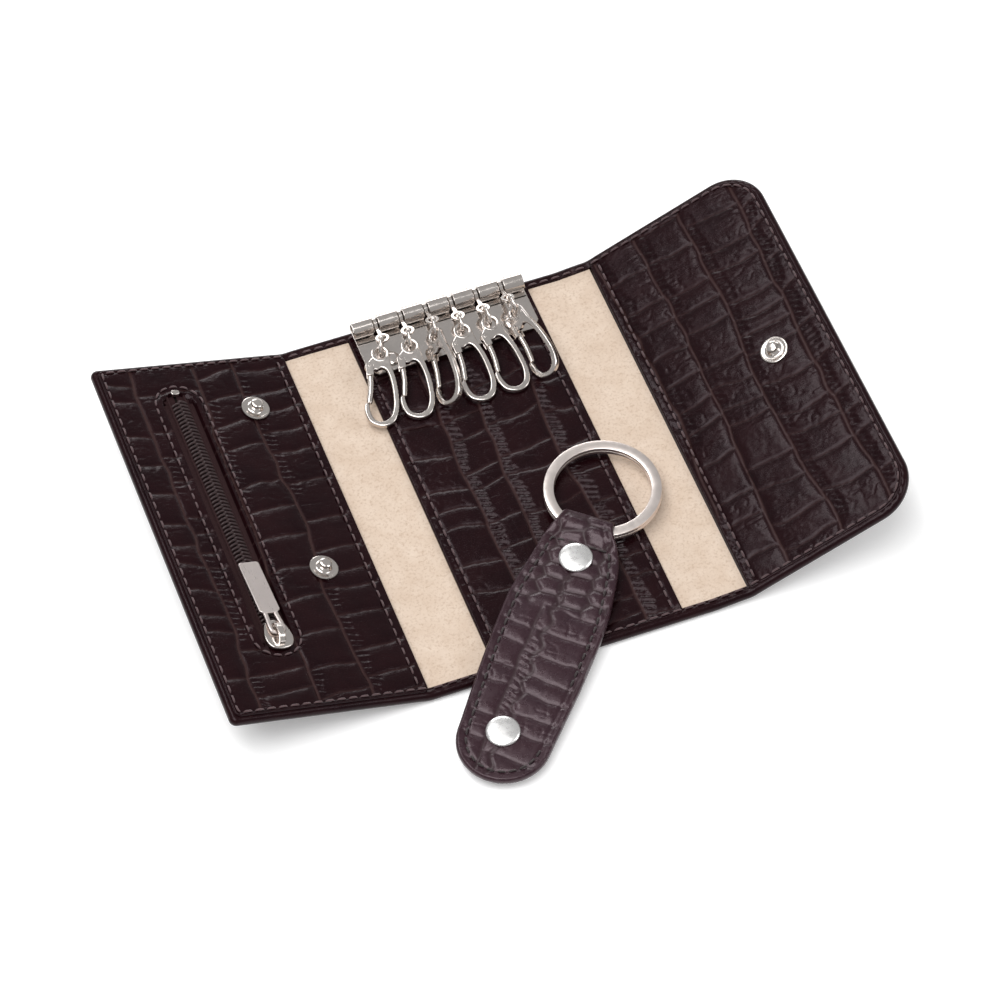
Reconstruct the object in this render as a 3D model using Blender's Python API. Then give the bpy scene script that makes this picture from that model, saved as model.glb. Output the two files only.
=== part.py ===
"""Trifold leather key organiser with six snap hooks, a zip pocket and a snap-on key fob.

The case lies open on its back: X runs across the panels, Y towards the key bar and Z up.
The origin is on the underside, at the middle of the centre panel. Sizes are in millimetres
and become metres when a mesh is made. Run with: blender --background --python part.py
"""
import math

import bmesh
import bpy
from mathutils import Matrix, Vector
from mathutils.geometry import tessellate_polygon

MM = 0.001
GAP = 0.3                     # clearance kept between pieces that touch

# Case
CASE_HEIGHT = 110.0
CENTRE_WIDTH = 47.8           # leather centre panel
STRIP_WIDTH = 16.7            # suede strip on each side of it
LEFT_WIDTH = 50.7             # zip pocket panel
RIGHT_WIDTH = 47.1            # closing flap
HEM = 2.7                     # turned-in edge of the outer leather
EDGE_WALL = 0.8
LEFT_CORNER = 1.6
RIGHT_CORNER = 11.0
LEFT_SPINE = 9.0              # depth of the closed case at the left fold
RIGHT_SPINE = 8.8
LEFT_TILT = 17.3              # how far each panel stands off the table, in degrees
RIGHT_SPINE_TILT = 5.7
RIGHT_TILT = 24.9

# Layers, as heights above the underside of the cover
COVER_TOP = 1.0
LINING = (1.3, 1.8)
PANEL = (2.1, 2.9)
TOP = PANEL[1]                # the fold lines lie in this plane
POCKET_LINING = (1.3, 1.6)
TAPE = (1.9, 2.2)
POCKET_PANEL = (2.5, 3.3)

# Zip pocket, with distances measured outwards from the left fold line
ZIP_CENTRE = 32.0
ZIP_WINDOW = 8.2
ZIP_LOW = -36.0
ZIP_HIGH = 44.3
TAPE_WIDTH = 6.2
TAPE_SPLIT = 0.7
COIL = (2.5, 3.5)
COIL_INNER = 0.45
COIL_OUTER = 2.0
SLIDER_Y = -32.6
PULL_PIVOT_Z = 5.35
PULL_DROOP = 3.6

# Snap fasteners
STUD_S = 13.3                 # the fob's studs, from the left fold line
STUD_UPPER_Y = 37.0
STUD_SPACING = 51.2
FLAP_STUD_S = 31.8
FLAP_STUD_Y = 1.5
SOCKET_S = 29.4
SHANK = 0.9
SHANK_HOLE = 1.25
FLANGE_HOLE = 3.4

# Key bar
BAR_LENGTH = 45.2
BAR_LOW = 38.7
BAR_THICKNESS = 0.8
BAR_Z = TOP + GAP
BARREL_Y = 52.7
BARREL_RADIUS = 2.3
BARREL_Z = BAR_Z + BARREL_RADIUS
CURL_END = 210.0
SLOT = 1.5
ROD_RADIUS = 0.75
HOOKS = 6
PITCH = 6.66
RIVET_X = 16.0
RIVET_Y = 42.1
RIVET_HOLE = 1.3

# Hangers, link rings and snap hooks
HANGER_REACH = 6.28
HANGER_WIDTH = 1.0
HANGER_THICKNESS = 0.5
LINK_RADIUS = 2.6
LINK_WIRE = 0.45
HOOK_THICKNESS = 1.4
HOOK_EYE = 1.35
PIVOT = (-2.9, -3.3)          # gate pivot from the hook's eye
PIVOT_HOLE = 0.7
PIVOT_PIN = 0.4
GATE_CHEEK = (0.90, 1.2)
# for each hook: its hanger's rise in degrees, how far its eye lies beside its slot, and its
# own yaw, pitch and twist in degrees
HOOK_POSES = (
    (15.5, -2.25, -15.0, 9.4, 0.0),
    (15.5, -1.20, -9.6, 9.4, 0.0),
    (24.6, -0.97, -5.7, 3.0, -47.0),
    (15.5, -0.70, -1.4, 9.4, 0.0),
    (15.5, 0.00, 3.8, 9.4, 0.0),
    (24.6, 0.30, 7.7, 3.0, -47.0),
)

# Key fob
FOB_CAP = (4.4, -32.4)        # upper cap
FOB_TURN = -40.4
FOB_SLOPE = 2.45
FOB_Z = 4.75
FOB_THICKNESS = 2.0
FOB_TOP = 12.9
FOB_END_RADIUS = 11.4
FOB_END = (0.9, -52.8)        # middle of the round end
LOOP = (-1.6, 3.4)
TUNNEL = (7.0, 12.1, -0.8, 2.6)
RING_RADIUS = 14.4
RING_BAND = 2.6
RING_THICKNESS = 2.2
RING_CENTRE = (-0.7, 21.5)
RING_PIVOT = (9.0, 0.9)
RING_DROOP = 2.4

ROUND = 24                    # segments around a round piece
FINE = 20

LEATHER = ((0.030, 0.017, 0.016), 0.38, 0.0)
SUEDE = ((0.74, 0.61, 0.46), 0.95, 0.0)
LINING_CLOTH = ((0.10, 0.07, 0.06), 0.85, 0.0)
NICKEL = ((0.66, 0.61, 0.57), 0.18, 1.0)
SATIN = ((0.58, 0.53, 0.49), 0.35, 1.0)
ZIP_CLOTH = ((0.045, 0.026, 0.022), 0.80, 0.0)


def clear_scene():
    for old in list(bpy.data.objects):
        bpy.data.objects.remove(old)


def material(name, look):
    made = bpy.data.materials.new(name)
    made.use_nodes = True
    shader = made.node_tree.nodes["Principled BSDF"]
    colour, roughness, metallic = look
    shader.inputs["Base Color"].default_value = (*colour, 1.0)
    shader.inputs["Roughness"].default_value = roughness
    shader.inputs["Metallic"].default_value = metallic
    made.diffuse_color = (*colour, 1.0)
    return made


# ---- outlines ----------------------------------------------------------------------------

def circle(radius, centre=(0.0, 0.0), steps=ROUND):
    return [(centre[0] + radius * math.cos(math.tau * i / steps),
             centre[1] + radius * math.sin(math.tau * i / steps)) for i in range(steps)]


def arc(centre, radius, start, end, steps):
    """Points on an arc, with its angles in degrees."""
    return [(centre[0] + radius * math.cos(math.radians(start + (end - start) * i / steps)),
             centre[1] + radius * math.sin(math.radians(start + (end - start) * i / steps)))
            for i in range(steps + 1)]


def rectangle(x0, x1, y0, y1, radius=0.0, steps=3):
    if not radius:
        return [(x0, y0), (x1, y0), (x1, y1), (x0, y1)]
    corners = ((x1 - radius, y0 + radius, -90), (x1 - radius, y1 - radius, 0),
               (x0 + radius, y1 - radius, 90), (x0 + radius, y0 + radius, 180))
    return [p for x, y, a in corners for p in arc((x, y), radius, a, a + 90, steps)]


def smooth(points, steps=3):
    """A closed Catmull-Rom curve through the points."""
    found = []
    for i in range(len(points)):
        a, b, c, d = (Vector(points[(i + k - 1) % len(points)]) for k in range(4))
        for j in range(steps):
            t = j / steps
            found.append(0.5 * (2 * b + (c - a) * t + (2 * a - 5 * b + 4 * c - d) * t * t
                                + (3 * b - a - 3 * c + d) * t ** 3))
    return [(p.x, p.y) for p in found]


def area(loop):
    return sum(a[0] * b[1] - b[0] * a[1] for a, b in zip(loop, loop[1:] + loop[:1])) / 2


def turned(loop, counter_clockwise):
    return loop if (area(loop) > 0) == counter_clockwise else loop[::-1]


def moved_in(loop, distance):
    """The loop with every side moved to its left, which is into the material."""
    found = []
    for before, here, after in zip(loop[-1:] + loop[:-1], loop, loop[1:] + loop[:1]):
        one = (Vector(here) - Vector(before)).normalized()
        two = (Vector(after) - Vector(here)).normalized()
        normal = Vector((-one.y - two.y, one.x + two.x)).normalized()
        reach = distance / max(0.5, normal.dot(Vector((-one.y, one.x))))
        found.append((here[0] + normal.x * reach, here[1] + normal.y * reach))
    return found


# ---- solids, each a list of points and a list of faces --------------------------------------

def cap(loops, starts, z, points_2d):
    """Triangles that fill the first loop and leave the others open."""
    flat = [i for loop, start in zip(loops, starts) for i in range(start, start + len(loop))]
    triangles = tessellate_polygon([[Vector((*p, 0.0)) for p in loop] for loop in loops])
    return [[flat[i] for i in triangle] for triangle in triangles]


def slab(outline, low, high, holes=(), chamfer=0.0):
    """A plate between two heights, with holes through it and its edges chamfered."""
    loops = [turned(outline, True)] + [turned(hole, False) for hole in holes]
    levels = [(low, 0.0), (high, 0.0)]
    if chamfer:
        levels = [(low, chamfer), (low + chamfer, 0.0), (high - chamfer, 0.0), (high, chamfer)]
    points, faces, starts = [], [], []
    for z, inset in levels:
        row = []
        for loop in loops:
            row.append(len(points))
            shifted = moved_in(loop, inset) if inset else loop
            points += [(*p, z) for p in shifted]
        starts.append(row)
    for below, above in zip(starts, starts[1:]):
        for loop, a, b in zip(loops, below, above):
            count = len(loop)
            faces += [[a + i, a + (i + 1) % count, b + (i + 1) % count, b + i]
                      for i in range(count)]
    for row in (starts[0], starts[-1]):
        faces += cap(loops, row, 0.0, points)
    return points, faces


def mapped(solid, place):
    points, faces = solid
    return [place(*p) for p in points], faces


def along_x(profile, x0, x1, chamfer=0.0):
    """A profile drawn in Y and Z, drawn out along X."""
    return mapped(slab(profile, x0, x1, chamfer=chamfer), lambda y, z, x: (x, y, z))


def lathe(profile, steps=ROUND):
    """A solid turned about Z from a profile of radius and height, between two points on Z."""
    points = [(0.0, 0.0, profile[0][1])]
    rings = profile[1:-1]
    for radius, z in rings:
        points += [(*p, z) for p in circle(radius, steps=steps)]
    points.append((0.0, 0.0, profile[-1][1]))
    last = len(points) - 1
    faces = []
    for i in range(steps):
        j = (i + 1) % steps
        faces.append([0, 1 + j, 1 + i])
        faces.append([last, last - steps + i, last - steps + j])
        for row in range(len(rings) - 1):
            a = 1 + row * steps
            faces.append([a + i, a + j, a + steps + j, a + steps + i])
    return points, faces


def hoop(profile, steps):
    """A ring turned about Z from a closed profile of radius and height."""
    size = len(profile)
    points = []
    for i in range(steps):
        turn = math.tau * i / steps
        points += [(r * math.cos(turn), r * math.sin(turn), z) for r, z in profile]
    faces = []
    for i in range(steps):
        a = i * size
        b = (i + 1) % steps * size
        faces += [[a + k, b + k, b + (k + 1) % size, a + (k + 1) % size] for k in range(size)]
    return points, faces


def together(*solids):
    """Several solids in one mesh, still separate bodies."""
    points, faces = [], []
    for some_points, some_faces in solids:
        start = len(points)
        points += some_points
        faces += [[start + i for i in face] for face in some_faces]
    return points, faces


def rounded_u(width, half, inset, corner, steps=6):
    """The free edge of a panel as an open line, from its near bottom end round to its near top."""
    x = width - inset
    y = half - inset
    radius = max(corner - inset, 0.3)
    return ([(GAP / 2, -y)] + arc((x - radius, -y + radius), radius, -90, 0, steps)
            + arc((x - radius, y - radius), radius, 0, 90, steps) + [(GAP / 2, y)])


def hemmed_panel(width, corner, hem_low, hem_high, hole=None):
    """Outer leather of an end panel, whose free edges wrap round and lie on top as a hem."""
    half = CASE_HEIGHT / 2
    outer = rounded_u(width, half, 0.0, corner)
    wall = rounded_u(width, half, EDGE_WALL, corner)
    hem = rounded_u(width, half, HEM, corner)
    rows = ((outer, 0.0), (outer, hem_high), (hem, hem_high), (hem, hem_low),
            (wall, hem_low), (wall, COVER_TOP))
    count = len(outer)
    points = [(*p, z) for line, z in rows for p in line]
    faces = []
    for row in range(len(rows) - 1):
        a = row * count
        faces += [[a + i, a + i + 1, a + count + i + 1, a + count + i] for i in range(count - 1)]
    firsts = [row * count for row in range(len(rows))]
    lasts = [row * count + count - 1 for row in range(len(rows))]
    faces.append(firsts + lasts[::-1])
    hole_loops = [turned(hole, False)] if hole else []
    for line, z, row in ((outer, 0.0, 0), (wall, COVER_TOP, len(rows) - 1)):
        starts = [row * count]
        if hole:
            starts.append(len(points))
            points += [(*p, z) for p in hole_loops[0]]
        faces += cap([line] + hole_loops, starts, z, points)
    if hole:
        size = len(hole)
        low = len(points) - 2 * size
        high = len(points) - size
        faces += [[low + i, low + (i + 1) % size, high + (i + 1) % size, high + i]
                  for i in range(size)]
    return points, faces


def hemmed_strip(x0, x1, hem_low, hem_high):
    """Outer leather between two fold lines, hemmed along its top and bottom edges."""
    half = CASE_HEIGHT / 2
    inside = half - EDGE_WALL
    edge = half - HEM
    profile = [(-half, 0.0), (half, 0.0), (half, hem_high), (edge, hem_high), (edge, hem_low),
               (inside, hem_low), (inside, COVER_TOP), (-inside, COVER_TOP),
               (-inside, hem_low), (-edge, hem_low), (-edge, hem_high), (-half, hem_high)]
    return along_x(profile, x0, x1)


# ---- objects -----------------------------------------------------------------------------

def empty(name, parent=None, place=(0.0, 0.0, 0.0), turn=(0.0, 0.0, 0.0)):
    """A joint's frame. Its turn is in degrees about X, Y and Z."""
    made = bpy.data.objects.new(name, None)
    bpy.context.scene.collection.objects.link(made)
    made.empty_display_size = 5 * MM
    made.parent = parent
    made.location = Vector(place) * MM
    made.rotation_euler = [math.radians(a) for a in turn]
    return made


def mesh_of(name, solid, look, soft=False):
    points, faces = solid
    mesh = bpy.data.meshes.new(name)
    mesh.from_pydata([Vector(p) * MM for p in points], [], faces)
    work = bmesh.new()
    work.from_mesh(mesh)
    bmesh.ops.recalc_face_normals(work, faces=work.faces)
    work.to_mesh(mesh)
    work.free()
    mesh.materials.append(look)
    if soft:
        mesh.shade_smooth()
        mesh.set_sharp_from_angle(angle=math.radians(35))
    return mesh


def piece(name, mesh, parent=None):
    made = bpy.data.objects.new(name, mesh)
    bpy.context.scene.collection.objects.link(made)
    made.parent = parent
    return made


def cut(target, solid, operation, look):
    """A Boolean modifier on the target, whose other half is a guide the build leaves out."""
    guide = piece(target.name + "_" + operation.lower(),
                  mesh_of(target.name + "_" + operation.lower(), solid, look), target.parent)
    guide.hide_render = True
    guide.display_type = "WIRE"
    change = target.modifiers.new(operation.title(), "BOOLEAN")
    change.operation = operation
    change.solver = "EXACT"
    change.object = guide


def joined_mesh(name, solid, others, look, soft=True):
    """The union of several solids as one mesh, for a piece that is used several times."""
    work = piece(name + "_blank", mesh_of(name + "_blank", solid, look, soft))
    for other in others:
        cut(work, other, "UNION", look)
    bpy.context.view_layer.update()
    evaluated = work.evaluated_get(bpy.context.evaluated_depsgraph_get())
    mesh = bpy.data.meshes.new_from_object(evaluated)
    mesh.name = name
    for guide in [change.object for change in work.modifiers]:
        bpy.data.objects.remove(guide)
    bpy.data.objects.remove(work)
    return mesh


# ---- case --------------------------------------------------------------------------------

def build_centre(leather, suede):
    left = -centre_reach(LEFT_SPINE) + GAP / 2
    right = centre_reach(RIGHT_SPINE) - GAP / 2
    piece("cover_centre", mesh_of("cover_centre", hemmed_strip(left, right, *PANEL), leather))
    half = CASE_HEIGHT / 2 - EDGE_WALL - GAP
    recesses = [circle(FLANGE_HOLE, (x, RIVET_Y)) for x in (-RIVET_X, RIVET_X)]
    lining = slab(rectangle(left, right, -half, half), *LINING, holes=recesses)
    piece("lining_centre", mesh_of("lining_centre", lining, suede))
    width = CENTRE_WIDTH / 2
    half = CASE_HEIGHT / 2 - HEM - GAP
    holes = [circle(RIVET_HOLE, (x, RIVET_Y)) for x in (-RIVET_X, RIVET_X)]
    panel = slab(rectangle(-width, width, -half, half), *PANEL, holes=holes)
    piece("centre_panel", mesh_of("centre_panel", panel, leather))


def centre_reach(spine):
    """How far a fold line lies from the middle of the case."""
    return CENTRE_WIDTH / 2 + STRIP_WIDTH - spine


def build_spine(side, pivot, x0, x1, leather, suede):
    cover = hemmed_strip(x0, x1, *PANEL)
    piece("cover_" + side, mesh_of("cover_" + side, lowered(cover), leather), pivot)
    half = CASE_HEIGHT / 2 - EDGE_WALL - GAP
    lining = slab(rectangle(x0, x1, -half, half), *LINING)
    piece("lining_" + side, mesh_of("lining_" + side, lowered(lining), suede), pivot)


def lowered(solid):
    """Heights above the underside become heights from the fold line's plane."""
    return mapped(solid, lambda x, y, z: (x, y, z - TOP))


def mirrored(solid):
    return mapped(solid, lambda x, y, z: (-x, y, z))


def inside_edge(width, corner):
    """The outline of a lining that fits inside an end panel's edge wall."""
    return rounded_u(width, CASE_HEIGHT / 2, EDGE_WALL + GAP, corner)


def inside_hem(width, corner):
    return rounded_u(width, CASE_HEIGHT / 2, HEM + GAP, corner)


def build_left(pivot, leather, cloth, tape):
    def add(name, solid, look):
        return piece(name, mesh_of(name, lowered(mirrored(solid)), look), pivot)

    shank_hole = circle(SHANK_HOLE, (SOCKET_S, FLAP_STUD_Y))
    cover = hemmed_panel(LEFT_WIDTH, LEFT_CORNER, *POCKET_PANEL, hole=shank_hole)
    add("cover_left", cover, leather)
    add("pocket_lining", slab(inside_edge(LEFT_WIDTH, LEFT_CORNER), *POCKET_LINING), cloth)
    window = rectangle(ZIP_CENTRE - ZIP_WINDOW / 2, ZIP_CENTRE + ZIP_WINDOW / 2,
                       ZIP_LOW, ZIP_HIGH, ZIP_WINDOW / 2 - GAP, 6)
    holes = [window] + [circle(SHANK_HOLE, (STUD_S, y)) for y in stud_heights()]
    panel = slab(inside_hem(LEFT_WIDTH, LEFT_CORNER), *POCKET_PANEL, holes=holes)
    add("pocket_panel", panel, leather)
    low = ZIP_LOW - 2.5
    high = ZIP_HIGH + 2.5
    for name, sign in (("inner", -1), ("outer", 1)):
        near = ZIP_CENTRE + sign * TAPE_SPLIT / 2
        far = ZIP_CENTRE + sign * (TAPE_SPLIT / 2 + TAPE_WIDTH)
        strip = slab(rectangle(min(near, far), max(near, far), low, high), *TAPE)
        add("zip_tape_" + name, strip, tape)
        near = ZIP_CENTRE + sign * COIL_INNER
        far = ZIP_CENTRE + sign * COIL_OUTER
        teeth = slab(rectangle(min(near, far), max(near, far), ZIP_LOW + 1.2, ZIP_HIGH - 1.2),
                     *COIL, chamfer=0.3)
        add("zip_coil_" + name, teeth, tape)


def stud_heights():
    return STUD_UPPER_Y, STUD_UPPER_Y - STUD_SPACING


def build_right(pivot, leather, cloth):
    def add(name, solid, look):
        return piece(name, mesh_of(name, lowered(solid), look), pivot)

    where = (FLAP_STUD_S, FLAP_STUD_Y)
    cover = hemmed_panel(RIGHT_WIDTH, RIGHT_CORNER, *PANEL, hole=circle(SHANK_HOLE, where))
    add("cover_right", cover, leather)
    lining = slab(inside_edge(RIGHT_WIDTH, RIGHT_CORNER), *LINING,
                  holes=[circle(FLANGE_HOLE, where)])
    add("lining_right", lining, cloth)
    panel = slab(inside_hem(RIGHT_WIDTH, RIGHT_CORNER), *PANEL,
                 holes=[circle(SHANK_HOLE, where)])
    add("right_panel", panel, leather)


# ---- snap fasteners ------------------------------------------------------------------------

def stud_profile(surface, back):
    """A male snap stud on a surface, riveted to a flange behind it."""
    base = surface + GAP
    return [(0, back[0]), (2.9, back[0]), (2.9, back[1]), (SHANK, back[1]), (SHANK, base),
            (3.3, base), (3.6, base + 0.2), (3.4, base + 0.5), (2.5, base + 0.35),
            (2.2, base + 0.6), (1.5, base + 0.8), (1.25, base + 1.2), (1.6, base + 1.6),
            (1.5, base + 2.0), (0.8, base + 2.3), (0, base + 2.35)]


def socket_profile(surface, shank_top):
    """A socket under a surface, open downwards for the stud."""
    base = surface - GAP
    return [(0, base - 0.4), (1.9, base - 0.4), (2.0, base - 1.05), (2.5, base - 1.2),
            (3.2, base - 1.05), (3.5, base - 0.55), (4.0, base - 0.4), (4.0, base),
            (SHANK, base), (SHANK, shank_top), (0, shank_top)]


def cap_profile(surface, shank_end, radius, rise):
    """A domed cap on a surface, with its shank through the leather."""
    base = surface + GAP
    dome = [(radius * math.cos(a), base + 0.35 + (rise - 0.35) * math.sin(a))
            for a in (math.radians(15 * i) for i in range(1, 6))]
    return ([(0, shank_end), (SHANK, shank_end), (SHANK, base), (radius - 0.25, base),
             (radius, base + 0.2)] + dome + [(0, base + rise)])


def shifted(solid, x, y, z=0.0):
    return mapped(solid, lambda a, b, c: (a + x, b + y, c + z))


def upside_down(solid):
    return mapped(solid, lambda x, y, z: (x, -y, -z))


def build_case_snaps(left, right, nickel):
    def add(name, solid, parent):
        piece(name, mesh_of(name, lowered(solid), nickel, True), parent)

    for name, y in zip(("stud_upper", "stud_lower"), stud_heights()):
        stud = lathe(stud_profile(POCKET_PANEL[1], TAPE))
        add(name, shifted(stud, -STUD_S, y), left)
    socket = lathe(socket_profile(0.0, COVER_TOP))
    add("closing_socket", shifted(socket, -SOCKET_S, FLAP_STUD_Y), left)
    stud = lathe(stud_profile(PANEL[1], (COVER_TOP + GAP + 0.1, LINING[1])))
    add("flap_stud", shifted(stud, FLAP_STUD_S, FLAP_STUD_Y), right)
    outside = upside_down(lathe(cap_profile(0.0, -COVER_TOP, 4.8, 1.0)))
    add("flap_cap", shifted(outside, FLAP_STUD_S, FLAP_STUD_Y), right)


# ---- zip -----------------------------------------------------------------------------------

def slider_frame_x():
    return -ZIP_CENTRE


def build_zip(slider, pull, nickel):
    """The slider on its own frame, with its pull on a bar under the slider's bridge."""
    body_low = COIL[1] + GAP
    body_high = body_low + 0.8
    outline = smooth([(0, -4.4), (2.6, -3.6), (3.5, -1.4), (2.9, 1.2), (1.7, 3.4), (0, 4.0),
                      (-1.7, 3.4), (-2.9, 1.2), (-3.5, -1.4), (-2.6, -3.6)])
    side = COIL_OUTER + GAP
    flanges = [slab(rectangle(*sorted((s * side, s * (side + 0.5))), -1.3, 1.6),
                    TAPE[1] + GAP, body_low + 0.4) for s in (-1, 1)]
    post = slab(rectangle(-0.15, 0.15, 0.8, 2.6), TAPE[1] + GAP, body_low + 0.4)
    bridge_high = PULL_PIVOT_Z + 1.35
    bridge = along_x([(-3.4, body_low + 0.4), (-2.6, body_low + 0.4), (-2.6, body_high + 0.4),
                      (-1.9, bridge_high - 0.6), (1.4, bridge_high - 0.6),
                      (2.2, body_low + 0.4), (3.0, body_low + 0.4), (1.9, bridge_high),
                      (-2.3, bridge_high), (-3.4, body_high + 0.6)], -0.6, 0.6)
    above = [mapped(s, lambda x, y, z: (x, y, z - PULL_PIVOT_Z)) for s in
             (slab(outline, body_low, body_high, chamfer=0.2), *flanges, post, bridge)]
    body = piece("zip_slider", mesh_of("zip_slider", above[0], nickel), slider)
    cut(body, together(*above[1:]), "UNION", nickel)
    plate = [(-1.75, -0.45), (1.75, -0.45), (2.0, 0.2), (2.1, 4.0), (2.3, 6.4), (2.5, 9.0),
             (2.5, 22.0), (-2.5, 22.0), (-2.5, 9.0), (-2.3, 6.4), (-2.1, 4.0), (-2.0, 0.2)]
    window = rectangle(-1.1, 1.1, 0.45, 5.2, 0.5)
    blade = slab(plate, -0.4, 0.4, holes=[window], chamfer=0.12)
    piece("zip_pull", mesh_of("zip_pull", blade, nickel), pull)


# ---- key bar and hooks -----------------------------------------------------------------------

def hook_x(index):
    return (index - (HOOKS - 1) / 2) * PITCH


def build_key_bar(nickel):
    half = BAR_LENGTH / 2
    top = BAR_Z + BAR_THICKNESS
    join = BARREL_Y - BARREL_RADIUS - 1.0
    corner = 2.2
    plate = [(-half + corner, BAR_LOW), (half - corner, BAR_LOW), (half, BAR_LOW + corner),
             (half, join), (-half, join), (-half, BAR_LOW + corner)]
    holes = [circle(RIVET_HOLE, (x, RIVET_Y), 16) for x in (-RIVET_X, RIVET_X)]
    bar = piece("key_bar", mesh_of("key_bar", slab(plate, BAR_Z, top, holes=holes), nickel))
    centre = (BARREL_Y, BARREL_Z)
    inner = BARREL_RADIUS - BAR_THICKNESS
    curl = ([(join - 1.0, BAR_Z)] + arc(centre, BARREL_RADIUS, -90, CURL_END, FINE)
            + arc(centre, inner, CURL_END, -90, FINE) + [(join - 1.0, top)])
    slots = [hook_x(i) for i in range(HOOKS)]
    starts = [-half] + [x + SLOT / 2 for x in slots]
    ends = [x - SLOT / 2 for x in slots] + [half]
    curls = [along_x(curl, a, b) for a, b in zip(starts, ends)]
    cut(bar, together(*curls), "UNION", nickel)
    rod = mapped(slab(circle(ROD_RADIUS, steps=12), -half + 0.3, half - 0.3, chamfer=0.15),
                 lambda x, y, z: (z, x + BARREL_Y, y + BARREL_Z))
    piece("hanger_rod", mesh_of("hanger_rod", rod, nickel, True))
    head = top + GAP
    flange = (LINING[0], LINING[1])
    rivet = lathe([(0, flange[0]), (2.6, flange[0]), (2.6, flange[1]), (1.0, flange[1]),
                   (1.0, head), (2.0, head), (2.15, head + 0.2), (1.6, head + 0.5),
                   (0, head + 0.6)], 16)
    for name, x in (("bar_rivet_left", -RIVET_X), ("bar_rivet_right", RIVET_X)):
        piece(name, mesh_of(name, shifted(rivet, x, RIVET_Y), nickel, True))


def hanger_mesh(nickel):
    """A strip with a collar round the rod, along X, and an eye at its far end, along -Y."""
    collar = mapped(hoop([(1.1, -HANGER_WIDTH / 2), (1.8, -HANGER_WIDTH / 2),
                          (1.8, HANGER_WIDTH / 2), (1.1, HANGER_WIDTH / 2)], FINE),
                    lambda x, y, z: (z, x, y))
    half = HANGER_WIDTH / 2
    eye = arc((0, -HANGER_REACH), 1.75, 73, -253, FINE)
    strip = slab([(half, -1.4)] + eye + [(-half, -1.4)], -HANGER_THICKNESS / 2,
                 HANGER_THICKNESS / 2, holes=[circle(1.0, (0, -HANGER_REACH), 16)])
    return joined_mesh("hanger", strip, [collar], nickel)


def link_mesh(nickel):
    wire = [(LINK_RADIUS + x, y) for x, y in circle(LINK_WIRE, steps=8)]
    return mesh_of("link", hoop(wire, FINE), nickel, True)


def hook_mesh(nickel):
    """A snap hook's frame from its eye, at the origin, down -Y to its bow and nose."""
    head = arc((0, 0), 2.2, 0, 200, 10)
    lobe = arc(PIVOT, 1.25, 150, 300, 6)
    inner = [(-1.0, -4.5), (0.1, -4.0), (1.2, -4.9), (2.0, -8.0), (2.25, -12.0), (2.05, -15.3),
             (1.0, -17.9), (-0.8, -18.9), (-2.7, -18.2), (-3.6, -16.2), (-3.8, -13.8)]
    outer = [(-4.3, -13.35), (-4.9, -13.8), (-5.0, -16.2), (-3.9, -18.9), (-0.9, -20.3),
             (1.9, -19.3), (3.3, -16.2), (3.6, -12.0), (3.3, -7.5), (2.5, -3.5)]
    outline = head + lobe + smooth_open(inner) + smooth_open(outer)
    holes = [circle(HOOK_EYE, steps=16), circle(PIVOT_HOLE, PIVOT, 12)]
    half = HOOK_THICKNESS / 2
    return mesh_of("hook", slab(outline, -half, half, holes=holes, chamfer=0.25), nickel, True)


def smooth_open(points, steps=2):
    """An open Catmull-Rom curve through the points."""
    row = [points[0]] + points + [points[-1]]
    found = []
    for a, b, c, d in zip(row, row[1:], row[2:], row[3:]):
        a, b, c, d = (Vector(p) for p in (a, b, c, d))
        for j in range(steps):
            t = j / steps
            found.append(0.5 * (2 * b + (c - a) * t + (2 * a - 5 * b + 4 * c - d) * t * t
                                + (3 * b - a - 3 * c + d) * t ** 3))
    return [(p.x, p.y) for p in found] + [points[-1]]


def gate_mesh(nickel):
    """A gate on its pivot at the origin: two cheeks, the pin between them and the finger."""
    low, high = GATE_CHEEK
    finger = [(-0.9, -2.0), (0.9, -2.0), (0.75, -8.6), (0.45, -9.7), (-0.8, -9.7),
              (-1.3, -8.6), (-1.35, -5.0)]
    cheek = arc((0, 0), 0.95, 0, 180, 8) + [(-0.95, -2.6), (0.8, -2.6)]
    body = slab(finger, -high, high, chamfer=0.2)
    cheeks = [slab(cheek, *sorted((s * low, s * (high - 0.05)))) for s in (-1, 1)]
    pin = slab(circle(PIVOT_PIN, steps=10), 0.15 - high, high - 0.15)
    return joined_mesh("gate", body, [*cheeks, pin], nickel, False)


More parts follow.
